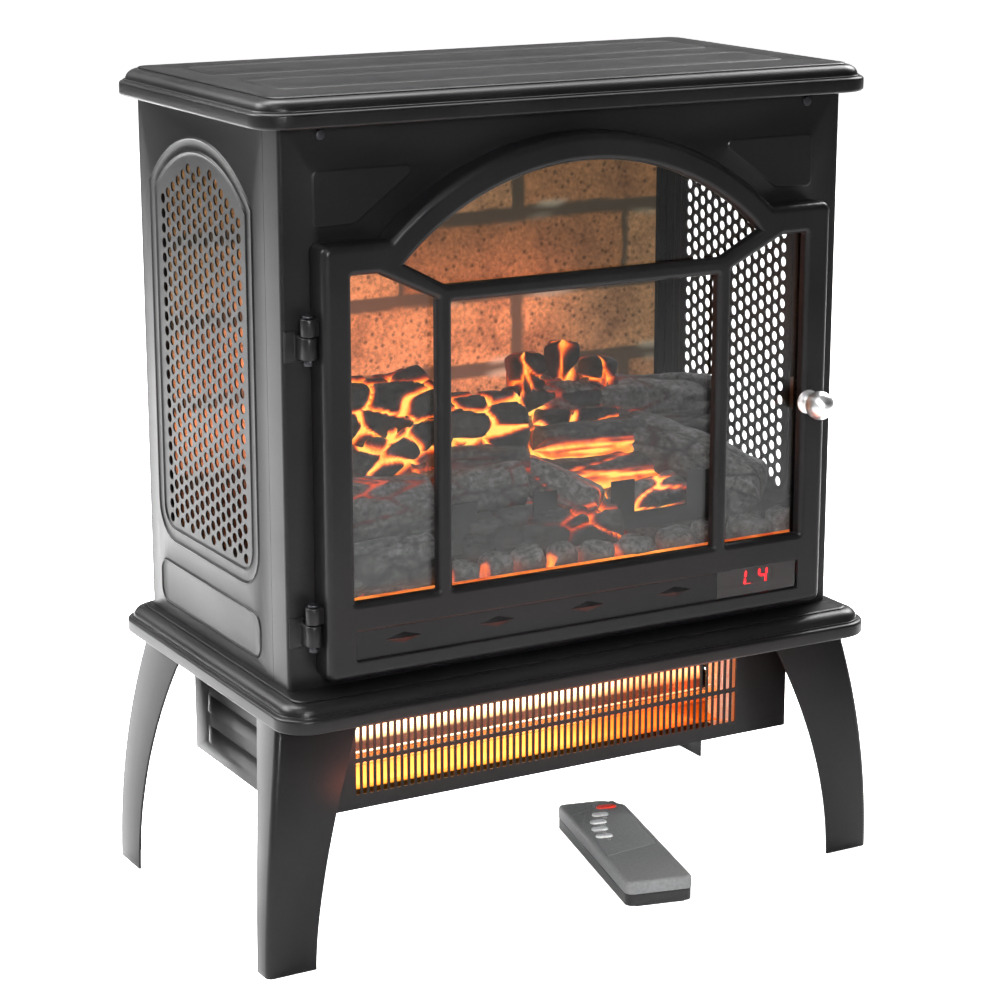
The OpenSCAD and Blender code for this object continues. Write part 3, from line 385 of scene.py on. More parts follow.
def moulded_edge(height):
    """The edge's section from the underside out, up and in: pairs of inset and height."""
    lip, nose, cove = height * 0.52, 0.0021, MOULD_WIDTH - 0.004
    rise = height - lip - 0.0015
    section = [(MOULD_WIDTH + 0.008, 0.0), (nose + 0.001, 0.0)]
    section += [(nose - nose * math.cos(a), nose + nose * math.sin(a))
                for a in arc_steps(15, -6, 0)]
    section += [(nose - nose * math.cos(a), lip - nose + nose * math.sin(a))
                for a in arc_steps(15, 0, 6)]
    bead = 0.0011
    section += [(0.0028 + bead - bead * math.cos(a), lip + 0.0002 + bead * math.sin(a))
                for a in arc_steps(30, 0, 4)]
    section += [(0.0046 + (cove - 0.0006) * (1 - math.cos(a)),
                 height - 0.0012 - (rise - 0.001) * (1 - math.sin(a)))
                for a in arc_steps(10, 1, 9)]
    section += [(MOULD_WIDTH - 0.0004, height - 0.0006), (MOULD_WIDTH + 0.0003, height - 0.0001),
                (MOULD_WIDTH + 0.0012, height)]
    return section


def moulded_plate(name, node, grooves):
    low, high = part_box(node)
    bm = bmesh.new()
    edge = round_loop(low, high, PLATE_CORNER)
    rings = [ring_of(bm, edge, inset, low.z + up) for inset, up in moulded_edge(high.z - low.z)]
    bridge_all(bm, rings)
    holes = []
    for groove_low, groove_high in grooves:
        around = round_loop(groove_low, groove_high, 0.012, 8)
        steps = [ring_of(bm, around, inset, high.z - down) for inset, down in GROOVE_STEP]
        bridge_all(bm, steps)
        fill(bm, steps[-1])
        holes.append(steps[0])
    fill(bm, rings[-1], *holes)
    bmesh.ops.remove_doubles(bm, verts=bm.verts, dist=0.00001)
    bmesh.ops.recalc_face_normals(bm, faces=bm.faces)
    up_face = max(bm.faces, key=lambda f: f.calc_area())
    if up_face.normal.z < 0:
        bmesh.ops.reverse_faces(bm, faces=bm.faces)
    return settle(thicken(from_bmesh(name, bm, outward=False), 0.0014), 30)


top_low, top_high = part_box("top_plate")
groove_x = top_high.x - 0.036
top_grooves = [((-groove_x, top_low.y + start, 0), (groove_x, top_low.y + start + 0.064, 0))
               for start in (0.056, 0.156)]
fit_painted(moulded_plate("top_pressing", "top_plate", top_grooves), "top_plate")
fit_painted(moulded_plate("base_pressing", "base_plate", []), "base_plate")


# ---------------------------------------------------------------- leg screws
# Eight black-oxide pan-head screws hold the legs up to the pads in the base plate's corners.
def softened(node, width, segments=2, angle=40.0):
    """A copy of a CAD node's mesh with its doubles merged and every hard edge rounded a little."""
    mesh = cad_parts[node].data.copy()
    mesh.materials.clear()
    bm = bmesh.new()
    bm.from_mesh(mesh)
    bmesh.ops.remove_doubles(bm, verts=bm.verts, dist=0.00002)
    bmesh.ops.dissolve_limit(bm, angle_limit=math.radians(1.5), verts=bm.verts, edges=bm.edges)
    bm.to_mesh(mesh)
    bm.free()
    made = new_object(node + "_finished", mesh)
    return settle(bevelled(made, width, segments, angle), angle)


def fit_softened(node, width, slot, material, body="stove", segments=2):
    """Fits a CAD node's own shape, softened, in its place."""
    return fit(softened(node, width, segments), body, slot, material, node)


def plated(name, colour, roughness, scratch=0.10):
    """Bare or plated metal, with faint rubbing marks in its roughness and a little tarnish."""
    material, shader = principled(name, Metallic=1.0)
    tree = material.node_tree
    place = object_place(tree)
    rubbed = remap(tree, noisy(tree, place, 260.0, 4.0, 0.7), 0.3, 0.7,
                   max(roughness - scratch / 2, 0.02), roughness + scratch)
    tone = remap(tree, noisy(tree, place, 24.0, 3.0), 0.3, 0.7, 0.82, 1.0)
    feed(shader, Roughness=rubbed, Base_Color=scaled(tree, colour, tone))
    return material


def dress(material, *nodes):
    """A better material on CAD nodes whose shape is already right."""
    for node in nodes:
        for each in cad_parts[node].material_slots:
            each.material = material


bright_steel = plated("zinc_plate", (0.62, 0.62, 0.63), 0.3)
dark_fastener = plated("black_oxide", (0.05, 0.05, 0.055), 0.42)
fit_softened("leg_screws", 0.0006, "dark_fastener", dark_fastener)
fit_softened("case_screws", 0.0005, "dark_fastener", dark_fastener)

# ---------------------------------------------------------------- heater box
# A folded steel box hangs under the base plate. Each end has three pressed louvres that the
# blower draws through, and the front is a separate slotted sheet.
LOUVRE_OUT = 0.0032
LOUVRE_TALL = 0.0115


def sheet_face(bm, corners, holes, place):
    """A flat sheet with holes, drawn in two dimensions and placed in three by place(u, v)."""
    fill(bm, *[[bm.verts.new(place(u, v)) for u, v in outline] for outline in [corners, *holes]])


def soft_outline(low, high, radius, steps=4):
    """A rectangle with round corners, as a list of points."""
    return [point for point, _ in round_loop(low, high, radius, steps)]


housing_low, housing_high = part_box("heater_housing")
grille_low, grille_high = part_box("heater_grille")
louvre_heights = [housing_low.z + 0.016 + 0.024 * k for k in range(3)]
louvre_front, louvre_back = housing_low.y + 0.0288, housing_high.y - 0.026
bm = bmesh.new()
for side in (-1, 1):
    wall_x = housing_high.x * side
    holes = [soft_outline((louvre_front, z - 0.0026), (louvre_back, z + 0.0026), 0.0024)
             for z in louvre_heights]
    sheet_face(bm, corners_of(housing_low.y, housing_low.z, housing_high.y, housing_high.z), holes,
               lambda u, v: (wall_x, u, v))
sheet_face(bm, corners_of(housing_low.x, housing_low.y, housing_high.x, housing_high.y), (),
           lambda u, v: (u, v, housing_low.z))
back_slots = [soft_outline((k * 0.026 - 0.009, housing_low.z + 0.036),
                           (k * 0.026 + 0.009, housing_low.z + 0.041), 0.0022) for k in range(-6, 7)]
sheet_face(bm, corners_of(housing_low.x, housing_low.z, housing_high.x, housing_high.z), back_slots,
           lambda u, v: (u, housing_high.y, v))
bmesh.ops.remove_doubles(bm, verts=bm.verts, dist=0.00002)
bmesh.ops.recalc_face_normals(bm, faces=bm.faces)
centre_of_box = (housing_low + housing_high) / 2
outside = sum((f.calc_center_median() - centre_of_box).dot(f.normal) * f.calc_area() for f in bm.faces)
if outside < 0:
    bmesh.ops.reverse_faces(bm, faces=bm.faces)
housing = thicken(from_bmesh("heater_box_shell", bm, outward=False), SHEET)
fit_painted(settle(bevelled(housing, 0.0011, 3, 60)), "heater_housing")

bm = bmesh.new()
for side in (-1, 1):
    for z in louvre_heights:
        rows = []
        for j in range(7):
            rise = j / 6
            row = []
            for i in range(41):
                along = i / 40
                ends = max(0.0, 1 - abs(2 * along - 1) ** 14)
                out = LOUVRE_OUT * math.cos(rise * math.pi / 2) ** 0.8 * ends + 0.0001
                row.append(bm.verts.new((side * (housing_high.x + out),
                                         louvre_front - 0.001 + along * (louvre_back - louvre_front + 0.002),
                                         z - 0.0024 + rise * LOUVRE_TALL)))
            rows.append(row)
        skin(bm, rows, flip=side < 0)
louvres = settle(thicken(from_bmesh("heater_louvres", bm, outward=False), 0.0009), 50)
fit_painted(louvres, "heater_housing")

# ---------------------------------------------------------------- heater grille
# The front sheet has two rows of sixty punched slots, and is painted like the cabinet.
SLOT_SIZE = (0.0034, 0.024)
SLOT_COUNT = 60
SLOT_FIELD = 0.324
SLOT_LIFT = (0.0375, 0.0105)


def sheet_tree(name, **inputs):
    """A Geometry Nodes tree for a punched sheet: the tree, and what it is given."""
    tree = bpy.data.node_groups.new(name, "GeometryNodeTree")
    tree.interface.new_socket("Geometry", in_out="INPUT", socket_type="NodeSocketGeometry")
    for label, value in inputs.items():
        kind = "NodeSocketInt" if isinstance(value, int) else "NodeSocketFloat"
        tree.interface.new_socket(label, in_out="INPUT", socket_type=kind).default_value = value
    tree.interface.new_socket("Finish", in_out="INPUT", socket_type="NodeSocketMaterial")
    tree.interface.new_socket("Geometry", in_out="OUTPUT", socket_type="NodeSocketGeometry")
    return tree, tree.nodes.new("NodeGroupInput").outputs


def repeated(tree, points, shape):
    place = add_node(tree, "GeometryNodeInstanceOnPoints", in_Points=points, in_Instance=shape)
    return add_node(tree, "GeometryNodeRealizeInstances", in_0=place.outputs[0]).outputs[0]


def punched(tree, given, *rows):
    """Fills the given outline as a sheet, with the rows of closed curves as its holes."""
    join = add_node(tree, "GeometryNodeJoinGeometry")
    for curves in (*rows, add_node(tree, "GeometryNodeMeshToCurve", in_0=given["Geometry"]).outputs[0]):
        feed(join, in_0=curves)
    sheet = add_node(tree, "GeometryNodeFillCurve", in_Curve=join.outputs[0])
    whole = add_node(tree, "GeometryNodeRealizeInstances", in_0=sheet.outputs[0])
    finish = add_node(tree, "GeometryNodeSetMaterial", in_Geometry=whole.outputs[0],
                      in_Material=given["Finish"])
    feed(tree.nodes.new("NodeGroupOutput"), in_0=finish.outputs[0])
    return tree


def grown(name, mesh, tree, **values):
    """Runs a Geometry Nodes tree on a mesh and returns the result as one plain mesh object."""
    seed_object = new_object(name, mesh)
    run = seed_object.modifiers.new("grow", "NODES")
    run.node_group = tree
    for item in tree.interface.items_tree:
        if item.item_type == "SOCKET" and item.in_out == "INPUT" and item.name in values:
            run[item.identifier] = values[item.name]
    return settle(seed_object, 30)


def loop_mesh(name, outline):
    """A closed outline in the XY plane, as edges only."""
    mesh = bpy.data.meshes.new(name)
    count = len(outline)
    mesh.from_pydata([(u, v, 0.0) for u, v in outline], [(k, (k + 1) % count) for k in range(count)], [])
    return mesh


def slotted_tree():
    """A sheet inside the given outline, with a row of upright slots at each of two heights."""
    tree, given = sheet_tree("slotted_sheet", Slot_Width=SLOT_SIZE[0], Slot_Height=SLOT_SIZE[1],
                             Slot_Count=SLOT_COUNT, Field=SLOT_FIELD, Upper_Row=0.0, Lower_Row=0.0)
    step = calc(tree, "DIVIDE", given["Field"], given["Slot_Count"])
    first = calc(tree, "MULTIPLY_ADD", step, 0.5, calc(tree, "MULTIPLY", given["Field"], -0.5))
    pace = add_node(tree, "ShaderNodeCombineXYZ", in_X=step)
    slot = add_node(tree, "GeometryNodeCurvePrimitiveQuadrilateral", mode="RECTANGLE",
                    in_Width=given["Slot_Width"], in_Height=given["Slot_Height"])
    corner = add_node(tree, "GeometryNodeFilletCurve", mode="POLY", in_Curve=slot.outputs[0],
                      in_Count=2, in_Radius=0.0008)
    rows = []
    for height in (given["Upper_Row"], given["Lower_Row"]):
        start = add_node(tree, "ShaderNodeCombineXYZ", in_X=first, in_Y=height)
        line = add_node(tree, "GeometryNodeMeshLine", mode="OFFSET", in_Count=given["Slot_Count"],
                        in_Start_Location=start.outputs[0], in_Offset=pace.outputs[0])
        rows.append(repeated(tree, line.outputs[0], corner.outputs[0]))
    return punched(tree, given, *rows)


def placed(made, place):
    """Moves every vertex to place(x, y, z), and leaves the object itself at the origin."""
    for vertex in made.data.vertices:
        vertex.co = place(*vertex.co)
    made.data.update()
    return made


def turned_to(made, direction):
    """Makes a flat sheet's faces point along a direction before it gets its thickness."""
    bm = bmesh.new()
    bm.from_mesh(made.data)
    bmesh.ops.remove_doubles(bm, verts=bm.verts, dist=0.00001)
    bmesh.ops.recalc_face_normals(bm, faces=bm.faces)
    if sum(f.normal.dot(Vector(direction)) * f.calc_area() for f in bm.faces) < 0:
        bmesh.ops.reverse_faces(bm, faces=bm.faces)
    bm.to_mesh(made.data)
    bm.free()
    return made


grille_outline = loop_mesh("grille_outline", corners_of(grille_low.x, grille_low.z, grille_high.x,
                                                        grille_high.z))
grille = grown("heater_grille_sheet", grille_outline, slotted_tree(), Finish=black_coat,
               Upper_Row=grille_low.z + SLOT_LIFT[0] + SLOT_SIZE[1] / 2,
               Lower_Row=grille_low.z + SLOT_LIFT[1] + SLOT_SIZE[1] / 2)
placed(grille, lambda x, y, z: (x, grille_low.y, y))
turned_to(grille, (0, -1, 0))
fit_painted(settle(thicken(grille, SHEET), 30), "heater_grille")

# ---------------------------------------------------------------- tubes and reflector
# Two quartz tubes with a coiled wire inside stand in ceramic blocks, before a curved bright
# reflector. The coils glow a dull orange. Their reflection is painted on the reflector as bands
# of white, dark and orange emission behind the slots, and a painted orange glow is put on the
# ceramic blocks.
COIL_TURNS_PER_METRE = 420
COIL_RADIUS, COIL_WIRE = 0.0026, 0.0005


def glowing(name, colour, strength, **values):
    return principled(name, Emission_Color=(*colour, 1.0), Emission_Strength=strength, **values)[0]


tubes_low, tubes_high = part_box("quartz_tubes")
tube_radius = 0.0055
coil_hot = glowing("hot_wire", (1.0, 0.30, 0.05), 1.2, Base_Color=(0.4, 0.12, 0.04, 1), Roughness=0.6)
bm = bmesh.new()
for z in (tubes_low.z + tube_radius, tubes_high.z - tube_radius):
    turns = int((tubes_high.x - tubes_low.x) * COIL_TURNS_PER_METRE)
    steps = turns * 6
    before = None
    for k in range(steps + 1):
        a = 2 * math.pi * turns * k / steps
        x = tubes_low.x + (tubes_high.x - tubes_low.x) * k / steps
        centre = Vector((x, tubes_low.y + tube_radius + COIL_RADIUS * math.cos(a),
                         z + COIL_RADIUS * math.sin(a)))
        outward = Vector((0, math.cos(a), math.sin(a)))
        ring = [bm.verts.new(centre + COIL_WIRE * (math.cos(t) * outward + math.sin(t) * Vector((1, 0, 0))))
                for t in (0.0, 2.094, 4.189)]
        if before:
            bridge(bm, before, ring)
        before = ring
fit(settle(from_bmesh("coiled_wires", bm), 80), "stove", "heating_wire", coil_hot, "heating_coils")

quartz, _ = principled("fused_quartz", Base_Color=(0.97, 0.95, 0.93, 1), Roughness=0.06, IOR=1.46,
                       Transmission_Weight=1.0)
dress(quartz, "quartz_tubes")

reflector_finish, reflector_shader = principled("reflector_sheet", Base_Color=(0.62, 0.24, 0.07, 1),
                                                Metallic=1.0, Roughness=0.22, Emission_Strength=0.9)
# Painted reflection of the glowing coils: bands of emission up the reflector, white, dark and orange.
PAINTED_REFLECTION_BANDS = ((0.0, (1.0, 0.40, 0.03, 1)), (0.16, (1.0, 0.25, 0.02, 1)),
                   (0.22, (0.15, 0.07, 0.066, 1)), (0.56, (0.20, 0.09, 0.08, 1)),
                   (0.63, (3.0, 2.0, 0.9, 1)), (0.74, (5.0, 4.0, 2.6, 1)))
BANDS_TALL = 0.040


def ramped(tree, value, stops):
    """The colour of a ramp through pairs of position and colour."""
    made = add_node(tree, "ShaderNodeValToRGB", in_0=value)
    elements = made.color_ramp.elements
    elements[0].position, elements[0].color = stops[0]
    elements[1].position, elements[1].color = stops[-1]
    for position, colour in stops[1:-1]:
        elements.new(position).color = colour
    return made.outputs["Color"]


def mixed(tree, share, first, second, blend="MIX"):
    return add_node(tree, "ShaderNodeMixRGB", blend_type=blend, in_0=share, in_1=first,
                    in_2=second).outputs[0]


tree = reflector_finish.node_tree
place = object_place(tree)
along = add_node(tree, "ShaderNodeSeparateXYZ", in_0=place).outputs
reflector_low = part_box("heater_reflector")[0].z
level = remap(tree, along["Z"], reflector_low, reflector_low + BANDS_TALL, 0.0, 1.0)
# The painted reflection fades towards the reflector's right end.
painted_fade_right = remap(tree, along["X"], 0.045, 0.10, 0.0, 0.92)
heat = mixed(tree, painted_fade_right, ramped(tree, level, PAINTED_REFLECTION_BANDS), (0.85, 0.28, 0.16, 1), "MULTIPLY")
# Noise streaks in the painted glow.
glow_streak = remap(tree, noisy(tree, place, 55.0, 3.0), 0.3, 0.7, 0.75, 1.15)
feed(reflector_shader, Emission_Color=scaled(tree, heat, glow_streak))
dress(reflector_finish, "heater_reflector")

# The ceramic blocks carry a painted orange glow from the coils, as emission.
ceramic = coated("glazed_ceramic_painted_glow", (0.72, 0.69, 0.63), 0.35, grain=300.0,
                 Emission_Color=(1.0, 0.24, 0.06, 1), Emission_Strength=0.45)
fit_softened("tube_end_caps", 0.0008, "ceramic", ceramic)

# ---------------------------------------------------------------- blower
# A crossflow wheel runs in a moulded scroll behind the reflector, with its motor at one end.
duct_plastic = coated("duct_moulding", (0.05, 0.05, 0.052), 0.55, grain=500.0)
motor_can = plated("motor_steel", (0.32, 0.32, 0.33), 0.4)
blower_alloy = plated("blower_alloy", (0.7, 0.7, 0.72), 0.35)
dress(duct_plastic, "blower_scroll")
fit_softened("blower_motor", 0.0012, "motor_can", motor_can)
dress(blower_alloy, "blower_wheel")

# ---------------------------------------------------------------- side panels
# Each side is one steel sheet, punched with an arched field of round holes in staggered rows.
# Two pressed ribs follow the arch, and a third makes a low round-cornered panel under it.
PERF_HOLE, PERF_PITCH = 0.0074, 0.01065
PERF_HALF, PERF_RADIUS = 0.069, 0.100
RIB_WIDE, RIB_PROUD = 0.0028, 0.0010
RIB_GROWS = (0.0095, 0.019)
SIDE_FACE = 0.2235


def crown(radius, centre, meet, steps):
    """Points over an arch, from the angle meet on the right to the same on the left."""
    return [(radius * math.sin(meet - 2 * meet * k / steps),
             centre + radius * math.cos(meet - 2 * meet * k / steps)) for k in range(steps + 1)]


def arch_outline(grow, low, shoulder, steps=28, corner=0.009):
    """The punched field's arched outline, larger all round by grow, anticlockwise."""
    half, radius, corner = PERF_HALF + grow, PERF_RADIUS + grow, corner + grow
    low = low - grow
    centre = shoulder - math.sqrt(PERF_RADIUS ** 2 - PERF_HALF ** 2)
    meet = math.asin(half / radius)
    points = [(half - corner + corner * math.cos(a), low + corner + corner * math.sin(a))
              for a in [math.radians(-90 + 15 * k) for k in range(7)]]
    points += crown(radius, centre, meet, steps)
    points += [(-half + corner - corner * math.sin(a), low + corner - corner * math.cos(a))
               for a in [math.radians(90 - 15 * k) for k in range(7)]]
    return points


def rib_steps(middle):
    """Insets and heights across a pressed rib whose middle is at the given distance."""
    return [(middle + RIB_WIDE * (k / 8 - 0.5), RIB_PROUD * (0.5 - 0.5 * math.cos(math.pi * k / 4)))
            for k in range(9)]


def perforated_tree():
    """A sheet inside the given outline, punched with staggered round holes under an arch."""
    tree, given = sheet_tree("perforated_sheet", Hole=PERF_HOLE, Pitch=PERF_PITCH, Low=0.0,
                             Arch_Centre=0.3, Arch_Radius=PERF_RADIUS, Columns=15, Rows=30)
    count = calc(tree, "MULTIPLY", given["Columns"], given["Rows"])
    points = add_node(tree, "GeometryNodeMeshLine", mode="OFFSET", in_Count=count)
    index = add_node(tree, "GeometryNodeInputIndex").outputs[0]
    column = calc(tree, "MODULO", index, given["Columns"])
    row = calc(tree, "FLOOR", calc(tree, "DIVIDE", calc(tree, "ADD", index, 0.5), given["Columns"]))
    stagger = calc(tree, "MULTIPLY_ADD", calc(tree, "MODULO", column, 2.0), 0.5, row)
    column_step = calc(tree, "MULTIPLY", given["Pitch"], math.cos(math.radians(30)))
    middle = calc(tree, "MULTIPLY", calc(tree, "SUBTRACT", given["Columns"], 1.0), 0.5)
    across = calc(tree, "MULTIPLY", calc(tree, "SUBTRACT", column, middle), column_step)
    up = calc(tree, "MULTIPLY_ADD", stagger, given["Pitch"], given["Low"])
    spot = add_node(tree, "ShaderNodeCombineXYZ", in_X=across, in_Y=up)
    move = add_node(tree, "GeometryNodeSetPosition", in_Geometry=points.outputs[0],
                    in_Position=spot.outputs[0])
    square = calc(tree, "MULTIPLY", given["Arch_Radius"], given["Arch_Radius"])
    reach = calc(tree, "SQRT", calc(tree, "SUBTRACT", square, calc(tree, "MULTIPLY", across, across)))
    over = calc(tree, "GREATER_THAN", up, calc(tree, "ADD", given["Arch_Centre"], reach))
    drop = add_node(tree, "GeometryNodeDeleteGeometry", domain="POINT", in_Geometry=move.outputs[0],
                    in_Selection=over)
    circle = add_node(tree, "GeometryNodeCurvePrimitiveCircle", mode="RADIUS", in_Resolution=14,
                      in_Radius=calc(tree, "MULTIPLY", given["Hole"], 0.5))
    return punched(tree, given, repeated(tree, drop.outputs[0], circle.outputs[0]))


PERFORATED = perforated_tree()


def side_sheet(name, node, side):
    low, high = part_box(node)
    face = SIDE_FACE * side
    start, end = low.y + 0.0144, high.y
    middle = (start - 0.0004 + end) / 2
    field_low, shoulder = low.z + 0.078, high.z - 0.067
    arch_centre = shoulder - math.sqrt(PERF_RADIUS ** 2 - PERF_HALF ** 2)
    inner = arch_outline(0.0055, field_low, shoulder)
    mesh_part = grown(name, loop_mesh(name, inner), PERFORATED, Low=field_low, Arch_Centre=arch_centre,
                      Finish=black_coat)
    bm = bmesh.new()
    bm.from_mesh(mesh_part.data)

    def ring(grow, height):
        return [bm.verts.new((u, v, height)) for u, v in arch_outline(grow, field_low, shoulder)]

    steps = [(0.0055, 0.0)]
    for middle_at in RIB_GROWS:
        steps += rib_steps(middle_at - RIB_WIDE / 2)
    rings = [ring(grow, height) for grow, height in steps]
    bridge_all(bm, rings)
    low_panel = round_loop((-PERF_HALF - 0.019, low.z + 0.009), (PERF_HALF + 0.019, low.z + 0.044),
                           0.012, 8)
    panel_rings = [[bm.verts.new((p[0] - inset * d[0], p[1] - inset * d[1], height)) for p, d in low_panel]
                   for inset, height in rib_steps(RIB_WIDE / 2)]
    bridge_all(bm, panel_rings)
    fill(bm, panel_rings[-1])
    border = [bm.verts.new((u, v, 0.0)) for u, v in
              corners_of(start - middle, low.z, end - middle, high.z)]
    fill(bm, border, rings[-1], panel_rings[0])
    bmesh.ops.remove_doubles(bm, verts=bm.verts, dist=0.00002)
    bm.to_mesh(mesh_part.data)
    bm.free()
    placed(mesh_part, lambda x, y, z: (face + side * z, middle + x, y))
    turned_to(mesh_part, (side, 0, 0))
    return settle(thicken(mesh_part, SHEET), 40)


for side_name, side_sign in (("left_side_panel", -1), ("right_side_panel", 1)):
    fit_painted(side_sheet(side_name + "_sheet", side_name, side_sign), side_name)


# ---------------------------------------------------------------- back panel
# A flat sheet closes the cabinet's back, held by six screws. It carries the vents, the mains
# rocker and the rubber gland for the supply lead.
dress(black_coat, "back_panel")
black_plastic = coated("moulded_black_plastic", (0.018, 0.018, 0.019), 0.34, grain=1500.0, relief=0.00002)
fit_softened("cord_gland", 0.0009, "black_plastic", black_plastic)
fit_softened("rocker_bezel", 0.0005, "black_plastic", black_plastic)
rocker_red, _ = principled("rocker_lens", Base_Color=(0.55, 0.02, 0.015, 1), Roughness=0.16,
                           Coat_Weight=0.4)
fit_softened("power_rocker", 0.0006, "rocker_red", rocker_red, body="power_rocker")

# ---------------------------------------------------------------- front fascia
# One sheet makes the front and wraps round both corners on to the sides. A kite-shaped pad is
# pressed into each upper corner, and the firebox's arched mouth is cut out of the middle.
WRAP_ROUND = 0.0028
PAD_STEP = ((0.0, 0.0), (0.0004, 0.00015), (0.0009, 0.0006), (0.0014, 0.00078), (0.002, 0.0008),
            (0.0028, 0.0008))


def rounded(corners, radius, steps=5):
    """A closed outline with every corner rounded by radius, or by its own radius in a list."""
    radii = radius if isinstance(radius, (list, tuple)) else [radius] * len(corners)
    points = []
    for k, corner in enumerate(corners):
        here = Vector(corner)
        to_last = (Vector(corners[k - 1]) - here).normalized()
        to_next = (Vector(corners[(k + 1) % len(corners)]) - here).normalized()
        half_angle = to_last.angle(to_next) / 2
        if radii[k] <= 0 or half_angle > math.radians(88):
            points.append(tuple(here))
            continue
        run = radii[k] / math.tan(half_angle)
        centre = here + (to_last + to_next).normalized() * radii[k] / math.sin(half_angle)
        first, last = here + to_last * run - centre, here + to_next * run - centre
        turn = first.angle_signed(last)
        start = math.atan2(first.y, first.x)
        for i in range(steps + 1):
            a = start - turn * i / steps
            points.append((centre.x + radii[k] * math.cos(a), centre.y + radii[k] * math.sin(a)))
    return points


def inset_outline(points, inset):
    """An anticlockwise outline moved inwards by inset, with mitred corners."""
    moved = []
    for k, point in enumerate(points):
        here = Vector(point)
        into = (here - Vector(points[k - 1])).normalized()
        out_of = (Vector(points[(k + 1) % len(points)]) - here).normalized()
        left_1, left_2 = Vector((-into.y, into.x)), Vector((-out_of.y, out_of.x))
        mitre = (left_1 + left_2) / max(0.25, 1 + left_1.dot(left_2))
        moved.append(tuple(here + inset * mitre))
    return moved


def stepped_rings(bm, outline, profile, place):
    """Rings that follow an outline; profile holds pairs of inset and depth, and place(u, v, depth)."""
    rings = [[bm.verts.new(place(u, v, depth)) for u, v in inset_outline(outline, inset)]
             for inset, depth in profile]
    return bridge_all(bm, rings)


def arched_door(inset=0.0, floor_lift=None, steps=40):
    """The door's outline, smaller all round by inset; floor_lift moves its lower edge instead."""
    low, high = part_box("door_frame")
    half, shoulder = high.x - inset, high.z - DOOR_RISE - inset
    arch_half = high.x - DOOR_SHOULDER
    radius = (arch_half ** 2 + DOOR_RISE ** 2) / (2 * DOOR_RISE)
    centre = high.z - radius
    radius -= inset
    meet = math.acos((shoulder - centre) / radius)
    bottom = low.z + inset if floor_lift is None else floor_lift
    return [(-half, bottom), (half, bottom), (half, shoulder), *crown(radius, centre, meet, steps),
            (-half, shoulder)]


DOOR_RISE, DOOR_SHOULDER = 0.062, 0.050
MOUTH_INSET, MOUTH_LOW = 0.014, 0.252
PAD_OUT, PAD_TOP = 0.200, 0.551
BUTTON_HOLE = 0.0048
fascia_low, fascia_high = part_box("front_fascia")
fascia_y = fascia_low.y + 0.0008
button_boxes = [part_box(name) for name in ("power_button", "timer_button", "heat_button", "flame_button")]
window_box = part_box("display_module")
catch_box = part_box("magnet_catch")
bm = bmesh.new()


def on_fascia(points):
    return [bm.verts.new((x, fascia_y, z)) for x, z in points]


flat_x = fascia_high.x - WRAP_ROUND
border = on_fascia(corners_of(-flat_x, fascia_low.z, flat_x, fascia_high.z))
holes = [on_fascia(arched_door(MOUTH_INSET, MOUTH_LOW))]
for low, high in button_boxes:
    middle_x, middle_z = (low.x + high.x) / 2, (low.z + high.z) / 2
    holes.append(on_fascia([(middle_x + BUTTON_HOLE * math.cos(a), middle_z + BUTTON_HOLE * math.sin(a))
                            for a in arc_steps(15, 0, 23)]))
for low, high, trim in ((window_box[0], window_box[1], -0.0037), (catch_box[0], catch_box[1], 0.0003)):
    holes.append(on_fascia(corners_of(low.x - trim, low.z - 0.0003, high.x + trim, high.z + 0.0003)))
for side in (-1, 1):
    kite = [(side * PAD_OUT, PAD_TOP), (side * (PAD_OUT - 0.083), PAD_TOP),
            (side * (PAD_OUT - 0.0315), fascia_high.z - 0.067), (side * PAD_OUT, fascia_high.z - 0.068)]
    turns = [0.005, 0.0045, 0.007, 0.005]
    kite, turns = (kite, turns) if side > 0 else (kite[::-1], turns[::-1])
    rings = stepped_rings(bm, rounded(kite, turns), PAD_STEP,
                          lambda u, v, up: (u, fascia_y - up, v))
    fill(bm, rings[-1])
    holes.append(rings[0])
fill(bm, border, *holes)
for side, near, far in ((-1, border[0], border[3]), (1, border[1], border[2])):
    column = (near, far)
    places = [(flat_x + WRAP_ROUND * math.sin(a), fascia_y + WRAP_ROUND * (1 - math.cos(a)))
              for a in arc_steps(15, 1, 6)] + [(fascia_high.x, fascia_high.y)]
    for x, y in places:
        fresh = (bm.verts.new((side * x, y, fascia_low.z)), bm.verts.new((side * x, y, fascia_high.z)))
        bm.faces.new((column[0], column[1], fresh[1], fresh[0]))
        column = fresh
fascia = turned_to(from_bmesh("front_fascia_sheet", bm, outward=False), (0, -1, 0))
fit_painted(settle(thicken(fascia, SHEET), 40), "front_fascia")

# ---------------------------------------------------------------- brick backdrop
# A moulded sheet at the firebox's back shows old brickwork. The flame lamps' light from below is
# painted on it as emission: an even glow, brighter pools, and painted shade on the bricks low down
# behind the logs.
# The bricks stand a little proud of dark joints, some of them whitened with salts.
COURSE, BRICK, JOINT = 0.060, 0.200, 0.0105
COURSE_START, BOND_START = 0.2315, 0.082
GRID = 0.0022
# Painted pools of lamp light on the bricks: across, height, reach and strength.
GLOWS = ((-0.066, 0.345, 0.056, 2.4), (0.074, 0.385, 0.034, 1.0), (-0.150, 0.300, 0.060, 0.9),
         (0.010, 0.330, 0.045, 0.2), (0.120, 0.300, 0.060, 0.15))


def smooth_between(low, high, value):
    share = min(1.0, max(0.0, (value - low) / (high - low)))
    return share * share * (3 - 2 * share)


def mark(mesh, **marks):
    """Writes a number at each point of the mesh, under each label, for its material to read."""
    for label, values in marks.items():
        mesh.attributes.new(label, "FLOAT", "POINT").data.foreach_set("value", values)


def grid_mesh(name, points, wide):
    """A sheet through rows of points, each row wide points long."""
    mesh = bpy.data.meshes.new(name)
    starts = [k for k in range(len(points) - wide) if (k + 1) % wide]
    mesh.from_pydata(points, [], [(k, k + 1, k + wide + 1, k + wide) for k in starts])
    return mesh


